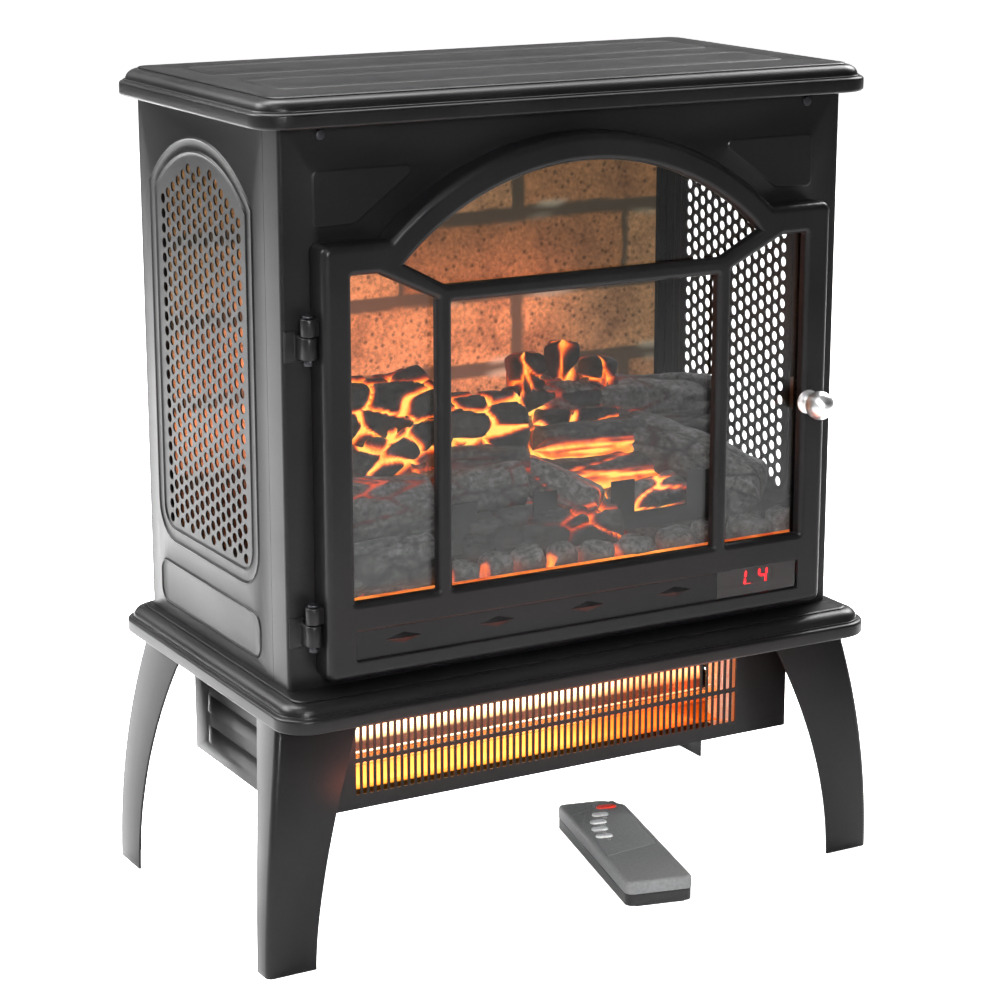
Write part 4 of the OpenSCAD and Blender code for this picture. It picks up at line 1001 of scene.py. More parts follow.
wall_low, wall_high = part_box("brick_backdrop")
columns = int((wall_high.x - wall_low.x) / GRID)
levels = int((wall_high.z - wall_low.z) / GRID)
points, joints, salts, tones, glows, painted_low_shades = [], [], [], [], [], []
for j in range(levels + 1):
    for i in range(columns + 1):
        x = wall_low.x + (wall_high.x - wall_low.x) * i / columns
        z = wall_low.z + (wall_high.z - wall_low.z) * j / levels
        wander = noise.noise_vector(Vector((x * 34, z * 34, 4.0))) * 0.0016
        wander += noise.noise_vector(Vector((x * 160, z * 160, 9.0))) * 0.0007
        u, v = x + wander.x, z + wander.y
        course = math.floor((v - COURSE_START) / COURSE)
        up = v - COURSE_START - course * COURSE
        shift = u - BOND_START - (0.098 if course % 2 else 0.0)
        brick = math.floor(shift / BRICK)
        along = shift - brick * BRICK
        head_half = JOINT * (0.22 if course % 4 == 3 else 0.5)
        gap = min(min(up, COURSE - up) - JOINT * 0.5, min(along, BRICK - along) - head_half)
        joint = 1 - smooth_between(-0.0008, 0.0014, gap)
        random.seed(brick * 131 + course * 977 + 5)
        tone = random.random()
        pit = noise.fractal(Vector((x * 120, z * 120, 2.0)), 0.8, 2.1, 4)
        sink = 0.0018 * joint + (0.00035 * max(0.0, pit)) * (1 - joint)
        border_gap = min(i, columns - i, j, levels - j)
        salt = smooth_between(0.15, 0.6, noise.noise(Vector((x * 22, z * 50, 17.0)))) \
            * smooth_between(0.004, -0.001, abs(min(up, COURSE - up) - JOINT * 0.5) - 0.0012)
        points.append((x, wall_low.y + 0.0004 + (sink if border_gap > 1 else 0.0), z))
        joints.append(joint)
        salts.append(0.6 * salt)
        tones.append(tone)
        # Painted shade: the bricks low down behind the logs lose their painted glow.
        painted_low_shades.append(0.04 + 0.96 * smooth_between(0.268, 0.335, z))
        glows.append(sum(power * math.exp(-((x - gx) ** 2 + (z - gz) ** 2) / (2 * reach * reach))
                         for gx, gz, reach, power in GLOWS))
mesh = grid_mesh("brick_face", points, columns + 1)
mark(mesh, joint=joints, salt=salts, tone=tones, glow=glows, rise=painted_low_shades)
brick_face = new_object("brick_sheet", mesh)
brick_print, brick_shader = principled("aged_brick", Roughness=0.85, Specular_IOR_Level=0.15)


def marked(tree, label):
    """A number that the mesh carries at each point under that label."""
    return add_node(tree, "ShaderNodeAttribute", attribute_name=label).outputs["Fac"]


tree = brick_print.node_tree
place = object_place(tree)
body = mixed(tree, marked(tree, "tone"), (0.30, 0.115, 0.048, 1), (0.43, 0.235, 0.125, 1))
blotch = remap(tree, noisy(tree, place, 26.0, 5.0, 0.62), 0.46, 0.72, 0.0, 0.9)
speck = remap(tree, noisy(tree, place, 310.0, 5.0, 0.7), 0.32, 0.68, 0.55, 1.35)
pores = add_node(tree, "ShaderNodeTexVoronoi", feature="F1", in_Vector=place, in_Scale=150.0)
pore = remap(tree, pores.outputs["Distance"], 0.10, 0.34, 0.35, 1.0)
body = scaled(tree, scaled(tree, mixed(tree, blotch, body, (0.13, 0.055, 0.03, 1)), speck), pore)
face = mixed(tree, marked(tree, "joint"), body, (0.075, 0.052, 0.038, 1))
face = mixed(tree, marked(tree, "salt"), face, (0.46, 0.40, 0.33, 1))
# The bricks' light is painted as emission: an even glow, brighter in the painted pools, and dimmed low down
# by the painted shade in the rise mark.
light = mixed(tree, marked(tree, "glow"), (0.46, 0.52, 0.42, 1), (2.7, 1.6, 1.3, 1))
lit = add_node(tree, "ShaderNodeVectorMath", operation="MULTIPLY", in_0=face, in_1=light).outputs[0]
feed(brick_shader, Base_Color=face, Emission_Color=lit, Emission_Strength=marked(tree, "rise"))
turned_to(brick_face, (0, -1, 0))
fit(settle(thicken(brick_face, 0.0022), 50), "stove", "brick_print", brick_print, "brick_backdrop")

# ---------------------------------------------------------------- logs
# The log set is one translucent resin moulding, painted as charred and ashy wood. The paint is
# left thin in the cracks and along the split faces, where the light of the lamps under the bed is
# painted on as emission, and on the undersides too.
# Where the painted lamp glow centres in the logs: x, y, z, reach and strength.
PAINTED_GLOW_SPOTS = ((-0.118, -0.005, 0.352, 0.050, 1.0), (-0.020, -0.005, 0.345, 0.038, 1.0),
             (0.055, 0.010, 0.335, 0.045, 1.15), (0.074, 0.034, 0.366, 0.034, 1.0),
             (0.080, -0.012, 0.300, 0.045, 1.15), (-0.150, -0.030, 0.318, 0.038, 1.1),
             (0.045, -0.050, 0.275, 0.028, 0.7), (0.078, -0.056, 0.275, 0.024, 0.9))


def painted_glow_at(point):
    """How strongly the painted glow of the lamps under the bed lights the resin at a point, from 0 to about
    1.
    """
    return min(1.0, 0.86 * sum(
        power * math.exp(-((point.x - x) ** 2 + (point.y - y) ** 2 + (point.z - z) ** 2)
                         / (2 * reach * reach))
        for x, y, z, reach, power in PAINTED_GLOW_SPOTS))


def add_log(bm, marks, start, end, radius, kind, heat, seed, step=0.0021):
    """One log of the moulding. Charred ones crack into blocks, split ones along the grain."""
    start, end = Vector(start) / 1000, Vector(end) / 1000
    radius = radius / 1000
    axis = (end - start).normalized()
    across = axis.cross(Vector((0, 0, 1))).normalized()
    upward = across.cross(axis)
    length = (end - start).length
    rows, around = max(8, int(length / step)), max(24, int(2 * math.pi * radius / step))
    cell = {"charred": (0.034, 0.022), "split": (0.17, 0.011), "ash": (0.050, 0.022)}[kind]
    groove = {"charred": 0.0060, "split": 0.0026, "ash": 0.0018}[kind]
    shift = Vector((seed * 7.3, seed * 3.1, seed * 5.7))
    ember, ash = marks
    grid = []
    for i in range(rows + 1):
        s = i / rows
        end_gap = min(s, 1 - s) * length
        cap = math.sqrt(max(0.0, 1 - (1 - min(1.0, end_gap / (0.34 * radius))) ** 2))
        middle = start + axis * length * s
        middle += Vector(noise.noise_vector(Vector((s * length * 14, seed, 0.5)))) * 0.12 * radius
        row = []
        for k in range(around):
            a = 2 * math.pi * k / around
            ray = across * math.cos(a) + upward * math.sin(a)
            flat = Vector((length * s / cell[0], radius * math.cos(a) / cell[1],
                           radius * math.sin(a) / cell[1]))
            flat += Vector(noise.noise_vector(flat * 0.9 + shift)) * (0.28 if kind != "split" else 0.1)
            near = noise.voronoi(flat + shift, distance_metric="DISTANCE", exponent=2.5)[0]
            edge = near[1] - near[0]
            crack = 1 - smooth_between(0.0, 0.16 if kind == "charred" else 0.11, edge)
            vein = 1 - smooth_between(0.0, 0.14 if kind == "charred" else 0.09, edge)
            halo = 1 - smooth_between(0.0, 0.34, edge)
            grain = noise.fractal(Vector((length * s * 45, 3.2 * math.cos(a) * radius * 130,
                                          3.2 * math.sin(a) * radius * 130)) + shift, 0.9, 2.2, 4)
            lump = noise.noise(Vector((length * s * 26, 1.6 * math.cos(a), 1.6 * math.sin(a))) + shift)
            out = radius * cap * (1 + 0.14 * lump) - groove * crack * cap + 0.0007 * grain * cap
            spot = middle + ray * out
            # The painted glow of the lamps: strongest in the cracks, along the split logs' lower rims and on
            # the undersides.
            warm = heat * painted_glow_at(spot)
            glow = warm * (0.92 * vein + 0.38 * halo * halo)
            if kind == "split":
                glow_streak = noise.noise(Vector((length * s * 12, 9 * math.cos(a), 9 * math.sin(a))) + shift)
                rim = smooth_between(0.75, -0.15, math.sin(a))
                glow = warm * (0.40 * vein + 0.45 * rim + 0.75 * smooth_between(-0.2, 0.4, glow_streak) * rim)
            glow += 0.30 * warm * smooth_between(-0.3, -0.95, math.sin(a))
            ember.append(min(1.2, glow))
            # Ash is heavier on upward faces: partly real ash, partly a painted highlight of the front light
            # on the upper facets.
            up_face = smooth_between(-0.2, 0.9, ray.z)
            dust = {"charred": 0.28, "split": 0.42, "ash": 0.85}[kind]
            ash.append(dust * (0.45 + 0.55 * up_face) * (0.6 + 0.8 * abs(grain)) * (1 - 0.8 * crack))
            row.append(bm.verts.new(spot))
        grid.append(row)
    bridge_all(bm, grid)


# Each log: start, end, radius, kind, strength of its painted glow, and seed.
LOG_LIST = (
    ((48, 42, 338), (206, 26, 322), 25, "ash", 0.35, 1),
    ((20, 30, 344), (124, 26, 338), 13, "charred", 1.0, 2),
    ((40, 20, 328), (112, 16, 324), 13, "charred", 1.1, 3),
    ((30, 2, 312), (196, 8, 306), 19, "split", 1.35, 4),
    ((20, -14, 292), (190, -10, 286), 18, "split", 1.7, 5),
    ((112, 22, 306), (192, -66, 268), 31, "ash", 0.1, 6),
    ((-52, 8, 338), (20, -4, 336), 25, "charred", 1.2, 7),
    ((-66, -16, 316), (10, -24, 308), 16, "split", 0.55, 8),
    ((-84, -38, 302), (-2, -42, 300), 17, "ash", 0.3, 9),
    ((6, -20, 302), (48, -64, 280), 18, "ash", 0.5, 10),
    ((66, -52, 278), (130, -46, 282), 14, "ash", 1.0, 11),
    ((-172, 8, 350), (-58, -4, 356), 33, "charred", 1.2, 12),
    ((-142, -30, 314), (-60, -20, 352), 20, "charred", 1.2, 13),
    ((-196, -46, 296), (-84, -56, 296), 29, "ash", 0.35, 14),
    ((-198, -78, 266), (-96, -80, 272), 19, "ash", 0.1, 15),
    ((-70, -58, 272), (64, -64, 268), 18, "charred", 0.7, 16),
    ((-160, 34, 300), (60, 36, 300), 34, "ash", 0.8, 17),
    ((60, -30, 262), (200, -40, 256), 24, "ash", 0.3, 18),
    ((-190, -20, 268), (60, -24, 264), 30, "ash", 0.5, 19))
HUMP_LIST = (
    ((44, 35, 340), (42, 36, 381), 15, "charred", 0.7, 21),
    ((75, 36, 340), (76, 37, 386), 13, "charred", 0.7, 22),
    ((104, 33, 334), (106, 35, 372), 16, "charred", 0.7, 23))
bm = bmesh.new()
ember_marks, ash_and_highlight_marks = [], []
for start, end, radius, kind, heat, seed in LOG_LIST + HUMP_LIST:
    add_log(bm, (ember_marks, ash_and_highlight_marks), start, end, radius, kind, heat, seed)
log_pile = from_bmesh("log_pile", bm)
mark(log_pile.data, ember=ember_marks, ash=ash_and_highlight_marks)
GLOW_STOPS = ((0.07, (0.0, 0.0, 0.0, 1)), (0.24, (0.07, 0.005, 0.001, 1)),
              (0.46, (0.50, 0.045, 0.006, 1)), (0.70, (1.0, 0.22, 0.018, 1)),
              (0.98, (1.0, 0.52, 0.09, 1)))


def charred_resin(name, glow_strength):
    """Painted resin: char and ash from the ash mark, the ash partly a painted highlight, and the lamps'
    light through it painted on as emission from the glow mark.
    """
    material, shader = principled(name, Specular_IOR_Level=0.35, Emission_Strength=glow_strength)
    tree = material.node_tree
    place = object_place(tree)
    fleck = noisy(tree, place, 240.0, 6.0, 0.65)
    amount = add_node(tree, "ShaderNodeMath", operation="MULTIPLY", use_clamp=True,
                      in_0=marked(tree, "ash"), in_1=remap(tree, fleck, 0.35, 0.7, 0.35, 1.5))
    # The pale ash colour is partly a painted highlight.
    paint = mixed(tree, amount.outputs[0], (0.012, 0.0105, 0.010, 1), (0.36, 0.345, 0.34, 1))
    flicker = remap(tree, noisy(tree, place, 70.0, 3.0), 0.3, 0.7, 0.7, 1.2)
    hot = ramped(tree, calc(tree, "MULTIPLY", marked(tree, "ember"), flicker), GLOW_STOPS)
    bump = add_node(tree, "ShaderNodeBump", in_Distance=0.0008, in_Height=fleck)
    feed(shader, Base_Color=paint, Roughness=remap(tree, fleck, 0.3, 0.7, 0.42, 0.85),
         Normal=bump.outputs["Normal"], Emission_Color=hot)
    return material


log_resin = charred_resin("log_resin", 1.8)
fit(settle(log_pile, 70), "stove", "log_resin", log_resin, "log_set")

# ---------------------------------------------------------------- ember bed
# The logs stand on a tray moulded as cinders, with a row of coals along its front. Its front
# lip is clear orange resin. The lamps' light through the cinders, the coals and the lip is painted
# on as emission.
bed_low, bed_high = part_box("ember_bed")
CINDER_CELL = 0.017
LIP_DEPTH, LIP_RISE = 0.004, 0.0135
COAL_AROUND, COAL_ROWS = 20, 14
CINDER_COLUMNS, CINDER_LEVELS = 170, 62
tray_top = bed_low.z + 0.042
columns, levels = CINDER_COLUMNS, CINDER_LEVELS
points, ember_marks, ash_and_highlight_marks = [], [], []
for j in range(levels + 1):
    for i in range(columns + 1):
        x = bed_low.x + (bed_high.x - bed_low.x) * i / columns
        y = bed_low.y + 0.006 + (bed_high.y - bed_low.y - 0.008) * j / levels
        near = noise.voronoi(Vector((x / CINDER_CELL, y / CINDER_CELL, 0.3)), distance_metric="DISTANCE")[0]
        edge = smooth_between(0.0, 0.35, near[1] - near[0])
        height = 0.009 * edge * (0.7 + 0.6 * noise.noise(Vector((x * 60, y * 60, 1.0))))
        border = min(i, columns - i, j, levels - j)
        points.append((x, y, tray_top - 0.002 + (height if border else -0.004)))
        # Painted lamp glow between the cinders, fading towards the bed's ends.
        heat = 0.55 + 0.5 * noise.noise(Vector((x * 14, y * 14, 6.0)))
        ember_marks.append(0.6 * (1 - edge) * max(0.0, heat) * smooth_between(0.19, 0.12, abs(x)))
        ash_and_highlight_marks.append(0.30 * edge)
mesh = grid_mesh("cinders", points, columns + 1)
mark(mesh, ember=ember_marks, ash=ash_and_highlight_marks)
cinders = turned_to(new_object("cinder_tray", mesh), (0, 0, 1))
ember_resin = charred_resin("ember_resin", 1.5)
fit(settle(thicken(cinders, 0.002), 70), "stove", "ember_resin", ember_resin, "ember_bed")



def squared(turn):
    """A sine or cosine pushed outwards, so that the coals are blocks rather than balls."""
    return math.copysign(abs(turn) ** 0.55, turn)


bm = bmesh.new()
ember_marks, ash_and_highlight_marks = [], []
random.seed(41)
coal_x = bed_low.x + 0.018
seed = 60
while coal_x < bed_high.x - 0.012:
    wide = random.uniform(0.019, 0.034)
    tall = random.uniform(0.021, 0.028)
    reach = random.uniform(-0.003, 0.002)
    middle = Vector((coal_x + wide / 2, bed_low.y + 0.017 + reach, tray_top + tall / 2 - 0.001))
    # Strength of the coal's painted lamp glow, fading towards the bed's ends.
    heat = 0.25 + 0.70 * random.random()
    heat *= smooth_between(0.17, 0.10, abs(middle.x + 0.02))
    grid = []
    for j in range(COAL_ROWS + 1):
        b = math.pi * (j / COAL_ROWS - 0.5)
        row = []
        for i in range(COAL_AROUND):
            a = 2 * math.pi * i / COAL_AROUND
            ray = Vector((squared(math.cos(a)) * abs(math.cos(b)) ** 0.5,
                          squared(math.sin(a)) * abs(math.cos(b)) ** 0.5, squared(math.sin(b))))
            spot = middle + Vector((ray.x * wide / 2, ray.y * 0.011, ray.z * tall / 2))
            spot += Vector(noise.noise_vector(spot * 75 + Vector((seed, 0, 0)))) * 0.0042
            spot += Vector(noise.noise_vector(spot * 320)) * 0.0008
            row.append(bm.verts.new(spot))
            # Painted glow on the coal's ends and underside.
            side_glow = 0.8 * smooth_between(0.9, 1.0, abs(ray.x))
            side_glow += 0.9 * smooth_between(-0.35, -0.95, ray.z)
            ember_marks.append(min(1.1, heat * side_glow))
            # Ash paint, heavier on top: partly real ash, partly a painted highlight.
            ash_and_highlight_marks.append(0.20 + 0.65 * smooth_between(-0.1, 0.8, ray.z)
                             * (0.5 + 0.9 * abs(noise.noise(spot * 120))))
        grid.append(row)
    bridge_all(bm, grid)
    coal_x += wide + random.uniform(0.003, 0.008)
    seed += 1
coals = from_bmesh("front_coals", bm)
mark(coals.data, ember=ember_marks, ash=ash_and_highlight_marks)
fit(settle(coals, 70), "stove", "ember_resin", ember_resin, "ember_bed")

# The lip's glow from the lamps is painted on as emission.
lip_glow, lip_shader = principled("orange_lip", Base_Color=(0.8, 0.16, 0.03, 1), Roughness=0.4,
                                  Emission_Strength=1.5)
tree = lip_glow.node_tree
feed(lip_shader, Emission_Color=ramped(tree, noisy(tree, object_place(tree), 26.0, 3.0),
                                       ((0.32, (0.25, 0.01, 0.003, 1)), (0.68, (1.0, 0.32, 0.05, 1)))))
bm = bmesh.new()
section = soft_outline((bed_low.y, bed_low.z), (bed_low.y + LIP_DEPTH, tray_top + LIP_RISE), 0.0015, 4)
ends = bridge_all(bm, [[bm.verts.new((x, y, z)) for y, z in section] for x in (bed_low.x, bed_high.x)])
for ring in ends:
    bm.faces.new(ring)
fit(settle(from_bmesh("lit_lip", bm)), "stove", "ember_resin", lip_glow, "ember_bed")

# ---------------------------------------------------------------- grate and flame works
# A flat steel grate stands before the logs. Behind them a motor turns a spindle of foil tabs,
# which throws the lamps' light up the brickwork.
grate_black = coated("grate_paint", (0.022, 0.021, 0.021), 0.55, grain=1200.0)
fit_softened("front_grate", 0.0006, "grate_black", grate_black)
spindle_foil = plated("spindle_foil", (0.85, 0.74, 0.45), 0.16)
circuit_green = coated("circuit_lacquer", (0.012, 0.09, 0.035), 0.3, grain=2000.0, relief=0.00001)
dress(spindle_foil, "flame_spindle")
dress(circuit_green, "led_board", "button_board", "control_board", "handset_board")
dress(bright_steel, "spindle_brackets")
dress(motor_can, "spindle_motor")


# ---------------------------------------------------------------- controls
# Four push buttons and a two-digit lamp display sit on the fascia's lower strip, behind the
# door. Each digit shows only its lit bars out of seven; the display reads heat level four.
panel_key = coated("moulded_key", (0.10, 0.10, 0.105), 0.4, grain=1600.0, relief=0.00002)
for button_name in ("power_button", "timer_button", "heat_button", "flame_button"):
    fit_softened(button_name, 0.0005, "panel_key", panel_key, body=button_name)
display_black = coated("display_moulding", (0.006, 0.006, 0.0065), 0.3, grain=1600.0, relief=0.00001)
fit_softened("display_module", 0.0004, "display_black", display_black)
fit_softened("magnet_catch", 0.0006, "motor_can", motor_can)

DIGIT_TALL, DIGIT_WIDE, BAR_THICK = 0.0112, 0.0066, 0.0016
DIGIT_LEAN = 0.12
SEGMENTS = {"L": "def", "4": "fgbc"}
display_low, display_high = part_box("display_module")


def segment_bars(bm, letter, left, low, y):
    """The lit bars of one digit, each a slim six-sided plate standing off the display's face."""
    half = DIGIT_TALL / 2
    runs = {"b": ((1, 2), (1, 1)), "c": ((1, 1), (1, 0)), "d": ((0, 0), (1, 0)),
            "e": ((0, 0), (0, 1)), "f": ((0, 1), (0, 2)), "g": ((0, 1), (1, 1))}
    for segment in SEGMENTS[letter]:
        (x0, z0), (x1, z1) = runs[segment]
        start = Vector((x0 * DIGIT_WIDE, z0 * half))
        end = Vector((x1 * DIGIT_WIDE, z1 * half))
        along = (end - start).normalized()
        across = Vector((-along.y, along.x)) * BAR_THICK / 2
        tip = along * BAR_THICK / 2
        start, end = start + along * 0.0004, end - along * 0.0004
        outline = [start, start + tip - across, end - tip - across, end, end - tip + across,
                   start + tip + across]
        rings = [[bm.verts.new((left + q.x + DIGIT_LEAN * q.y, y - depth, low + q.y)) for q in outline]
                 for depth in (0.0, 0.0003)]
        for ring in bridge_all(bm, rings):
            bm.faces.new(ring)


bm = bmesh.new()
digits_low = (display_low.z + display_high.z) / 2 - DIGIT_TALL / 2 - 0.0035
for letter, left in (("L", 0.1485), ("4", 0.1605)):
    segment_bars(bm, letter, left, digits_low, display_low.y + 0.0008)
digit_red = glowing("digit_lamps", (1.0, 0.015, 0.04), 45.0, Base_Color=(0.4, 0.0, 0.0, 1), Roughness=0.4)
fit(settle(from_bmesh("display_digits", bm)), "stove", "display_black", digit_red)

# ---------------------------------------------------------------- door
# The door is one deep pressing: a flat face with a rolled outer edge, and half-round glazing
# bars left between five openings. It hangs on two lift-off hinges at its left edge.
STILE, RAIL, BAR, SIDE_LIGHT = 0.021, 0.054, 0.011, 0.064
ARCH_RIM, DIAGONAL = 0.019, 0.016
DOOR_SHEET = 0.0018
EDGE_ROLL, BAR_ROLL, BAR_DEEP = 0.0052, 0.0042, 0.008
door_low, door_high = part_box("door_frame")
face_y = door_low.y


def roll(radius, wall, sign=1.0):
    """Inset and depth across a rolled edge, from the wall's far end round on to the flat."""
    section = [(0.0, wall)]
    section += [(radius * (1 - math.cos(a)), radius * (1 - math.sin(a)))
                for a in arc_steps(15, 0, 6)]
    section.append((radius + 0.0003, 0.0))
    return [(sign * inset, depth) for inset, depth in section]


shoulder_z = door_high.z - DOOR_RISE
light_low, light_top = door_low.z + RAIL, shoulder_z - STILE
light_out = door_high.x - STILE
light_in = light_out - SIDE_LIGHT
mullion_x = light_in - BAR / 2
transom_top = light_top - 0.012
transom_low = transom_top - BAR - 0.001
rim_radius = ((door_high.x - DOOR_SHOULDER) ** 2 + DOOR_RISE ** 2) / (2 * DOOR_RISE)
rim_centre = door_high.z - rim_radius
light_radius = rim_radius - ARCH_RIM
slope = DIAGONAL / 0.030
reach_x, reach_z = mullion_x - 0.002, transom_top - rim_centre
a_term, b_term = 1 + slope ** 2, 2 * (reach_x + slope * reach_z)
c_term = reach_x ** 2 + reach_z ** 2 - light_radius ** 2
run = (-b_term + math.sqrt(b_term ** 2 - 4 * a_term * c_term)) / (2 * a_term)
meet = math.asin((reach_x + run) / light_radius)
arch_light = [(-reach_x, transom_top), (reach_x, transom_top)]
arch_light += crown(light_radius, rim_centre, meet, 36)
side_light = [(light_in, light_low), (light_out, light_low), (light_out, light_top),
              (light_out - 0.020, light_top), (light_in, light_top - 0.021)]
mirrored = [(-x, z) for x, z in side_light][::-1]
middle_light = corners_of(-mullion_x + BAR / 2, light_low, mullion_x - BAR / 2, transom_low)
strip_low, strip_tall = door_low.z + 0.013, 0.021
strip = corners_of(-light_out, strip_low, light_out, strip_low + strip_tall)
bm = bmesh.new()
outline = arched_door()
corner_turns = [0.0062 if abs(abs(x) - door_high.x) < 1e-6 else 0.0 for x, _ in outline]
for number, (x, z) in enumerate(outline):
    if abs(abs(x) - (door_high.x - DOOR_SHOULDER)) < 1e-6:
        corner_turns[number] = 0.003


def place_on_door(u, v, depth):
    return u, face_y + depth, v


outer = stepped_rings(bm, rounded(outline, corner_turns), roll(EDGE_ROLL, door_high.y - door_low.y),
                      place_on_door)
inner_rings = []
for opening, turn, radius, wall in ((side_light, 0.0012, BAR_ROLL, BAR_DEEP),
                                    (mirrored, 0.0012, BAR_ROLL, BAR_DEEP),
                                    (middle_light, 0.0012, BAR_ROLL, BAR_DEEP),
                                    (arch_light, 0.0, BAR_ROLL, BAR_DEEP), (strip, 0.001, 0.0012, 0.0025)):
    smooth_outline = rounded(opening, turn) if turn else opening
    inner_rings.append(stepped_rings(bm, smooth_outline, roll(radius, wall, -1.0), place_on_door)[-1])
fill(bm, outer[-1], *inner_rings)
pressing = turned_to(from_bmesh("door_pressing", bm, outward=False), (0, -1, 0))
fit_painted(settle(thicken(pressing, DOOR_SHEET), 50), "door_frame", body="door")

glass_clear, _ = principled("clear_glass", Base_Color=(0.86, 0.88, 0.88, 1), Roughness=0.0, IOR=1.45,
                            Transmission_Weight=1.0)
dress(glass_clear, "door_glass")
dress(bright_steel, "glass_clips", "strike_plate", "knob_screw")

# ---------------------------------------------------------------- door strip
# A strip under the lights holds a smoked window over the display, and a pressed steel insert
# with four raised lozenges.
LOZENGE = (0.0145, 0.0040, 0.0015)
insert_low, insert_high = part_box("diamond_panel")
insert_y = insert_low.y + 0.0012
bm = bmesh.new()
border = [bm.verts.new((x, insert_y, z)) for x, z in
          corners_of(insert_low.x, insert_low.z, insert_high.x, insert_high.z)]
lozenges = []
shown = insert_high.x + 0.0002 + light_out
for k in range(4):
    x, z = -light_out + shown * (k + 0.5) / 4, strip_low + strip_tall * 0.55
    ring = [bm.verts.new((x + dx, insert_y, z + dz)) for dx, dz in
            ((-LOZENGE[0], 0), (0, -LOZENGE[1]), (LOZENGE[0], 0), (0, LOZENGE[1]))]
    crest = [bm.verts.new((x + side * LOZENGE[0] * 0.25, insert_y - LOZENGE[2], z)) for side in (-1, 1)]
    left, low, right, high = ring
    for face in ((left, low, crest[0]), (high, left, crest[0]), (low, right, crest[1]),
                 (right, high, crest[1]), (low, crest[1], crest[0]), (high, crest[0], crest[1])):
        bm.faces.new(face)
    lozenges.append(ring)
fill(bm, border, *lozenges)
insert = turned_to(from_bmesh("lozenge_insert", bm, outward=False), (0, -1, 0))
fit_painted(settle(thicken(insert, SHEET), 20), "diamond_panel", body="door")

smoked, _ = principled("smoked_window", Base_Color=(0.10, 0.012, 0.016, 1), Roughness=0.03, IOR=1.49,
                       Specular_IOR_Level=0.2, Transmission_Weight=1.0)
dress(smoked, "display_window")

# ---------------------------------------------------------------- hinges
# Turned steel knuckles, the lower one fixed to the cabinet and the upper one to the door, with
# a headed pin dropped through both.
fit_softened("door_knuckles", 0.0008, "black_coat", black_coat, body="door")
fit_softened("fixed_hinge_leaves", 0.0008, "black_coat", black_coat)
fit_softened("hinge_pins", 0.0005, "dark_fastener", dark_fastener)

# ---------------------------------------------------------------- door knob
# A polished ball on a short waisted neck and a thin collar, screwed on from behind.
knob_low, knob_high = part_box("door_knob")
knob_middle = (knob_low + knob_high) / 2
ball = knob_high.x - knob_middle.x
bm = bmesh.new()
knob_long = knob_high.y - knob_low.y
section = [(ball * (1 - math.cos(a)), ball * math.sin(a)) for a in arc_steps(10, 1, 14)]
section += [(knob_long * along, ball * wide) for along, wide in
            ((0.80, 0.52), (0.88, 0.50), (0.93, 0.56), (0.945, 0.82), (0.965, 0.86), (0.985, 0.86),
             (1.0, 0.82))]
rings = [[bm.verts.new((knob_middle.x + r * math.cos(a), knob_low.y + out, knob_middle.z + r * math.sin(a)))
          for a in arc_steps(10, 0, 35)] for out, r in section]
bridge_all(bm, rings)
bm.faces.new(rings[0])
bm.faces.new(rings[-1])
bright_knob = plated("polished_knob", (0.97, 0.97, 0.97), 0.34, scratch=0.05)
fit(settle(from_bmesh("turned_knob", bm), 40), "door", "bright_knob", bright_knob, "door_knob")

# ---------------------------------------------------------------- handset
# The handset is two moulded shells with rubber keys through the upper one. A fine groove runs
# round the key panel, and a sunk triangle fills the corner outside the keys' arc.
TURN = math.radians(-13)
HALF_LONG, HALF_WIDE, SHELL_HIGH, SEAM = 0.084, 0.026, 0.019, 0.0095
HANDSET_PLACE = Vector((0.072, -0.066))
KEYS = ("power", "timer", "heat", "warm", "flame")


def on_handset(u, v, up):
    """A point given along the handset's own width and length, in the stove's frame."""
    return (HANDSET_PLACE.x + u * math.cos(TURN) - v * math.sin(TURN),
            HANDSET_PLACE.y + u * math.sin(TURN) + v * math.cos(TURN), up)


def key_middle(key):
    """A key's middle along the handset's own width and length."""
    low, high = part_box("handset_" + key + "_key")
    middle = (low + high) / 2
    x, y = middle.x - HANDSET_PLACE.x, middle.y - HANDSET_PLACE.y
    return (x * math.cos(TURN) + y * math.sin(TURN), -x * math.sin(TURN) + y * math.cos(TURN))


plan = rounded([(-HALF_WIDE, -HALF_LONG), (HALF_WIDE, -HALF_LONG), (HALF_WIDE, HALF_LONG - 0.014),
                (HALF_WIDE * 0.45, HALF_LONG), (-HALF_WIDE, HALF_LONG)], [0.006, 0.006, 0.006, 0.006, 0.005])
arc_line = [(7, 77), (-2.5, 67), (-9, 55.5), (-14.5, 42), (-18.2, 30), (-20.3, 19), (-21.5, 8),
            (-22.2, -8), (-22.5, -27)]
panel_outline = [(-22.5, -30), (21.8, -15), (22.0, 68), (16.5, 75.5)] + arc_line
triangle_outline = [(-22.6, 27), (-20.8, 34), (-17.4, 43), (-12.0, 56), (-6.5, 65.5), (-22.3, 59)]
bm = bmesh.new()
top_edge = [(0.0, SEAM - SHELL_HIGH), (0.0, -0.0026), (0.0003, -0.0014), (0.0011, -0.0005),
            (0.0022, -0.0001), (0.0028, 0.0), (0.0032, 0.0)]
shell_rings = stepped_rings(bm, plan, [(inset, SHELL_HIGH + up) for inset, up in top_edge], on_handset)
panel_points = [(u / 1000, v / 1000) for u, v in panel_outline]
triangle_points = [(u / 1000, v / 1000) for u, v in triangle_outline]
groove = [(0.0, SHELL_HIGH), (0.0001, SHELL_HIGH - 0.0005), (0.0006, SHELL_HIGH - 0.0006),
          (0.0008, SHELL_HIGH - 0.0001), (0.0010, SHELL_HIGH)]
panel_rings = stepped_rings(bm, panel_points, groove, on_handset)
sunk = [(0.0, SHELL_HIGH), (0.0004, SHELL_HIGH - 0.0006), (0.0009, SHELL_HIGH - 0.0007)]
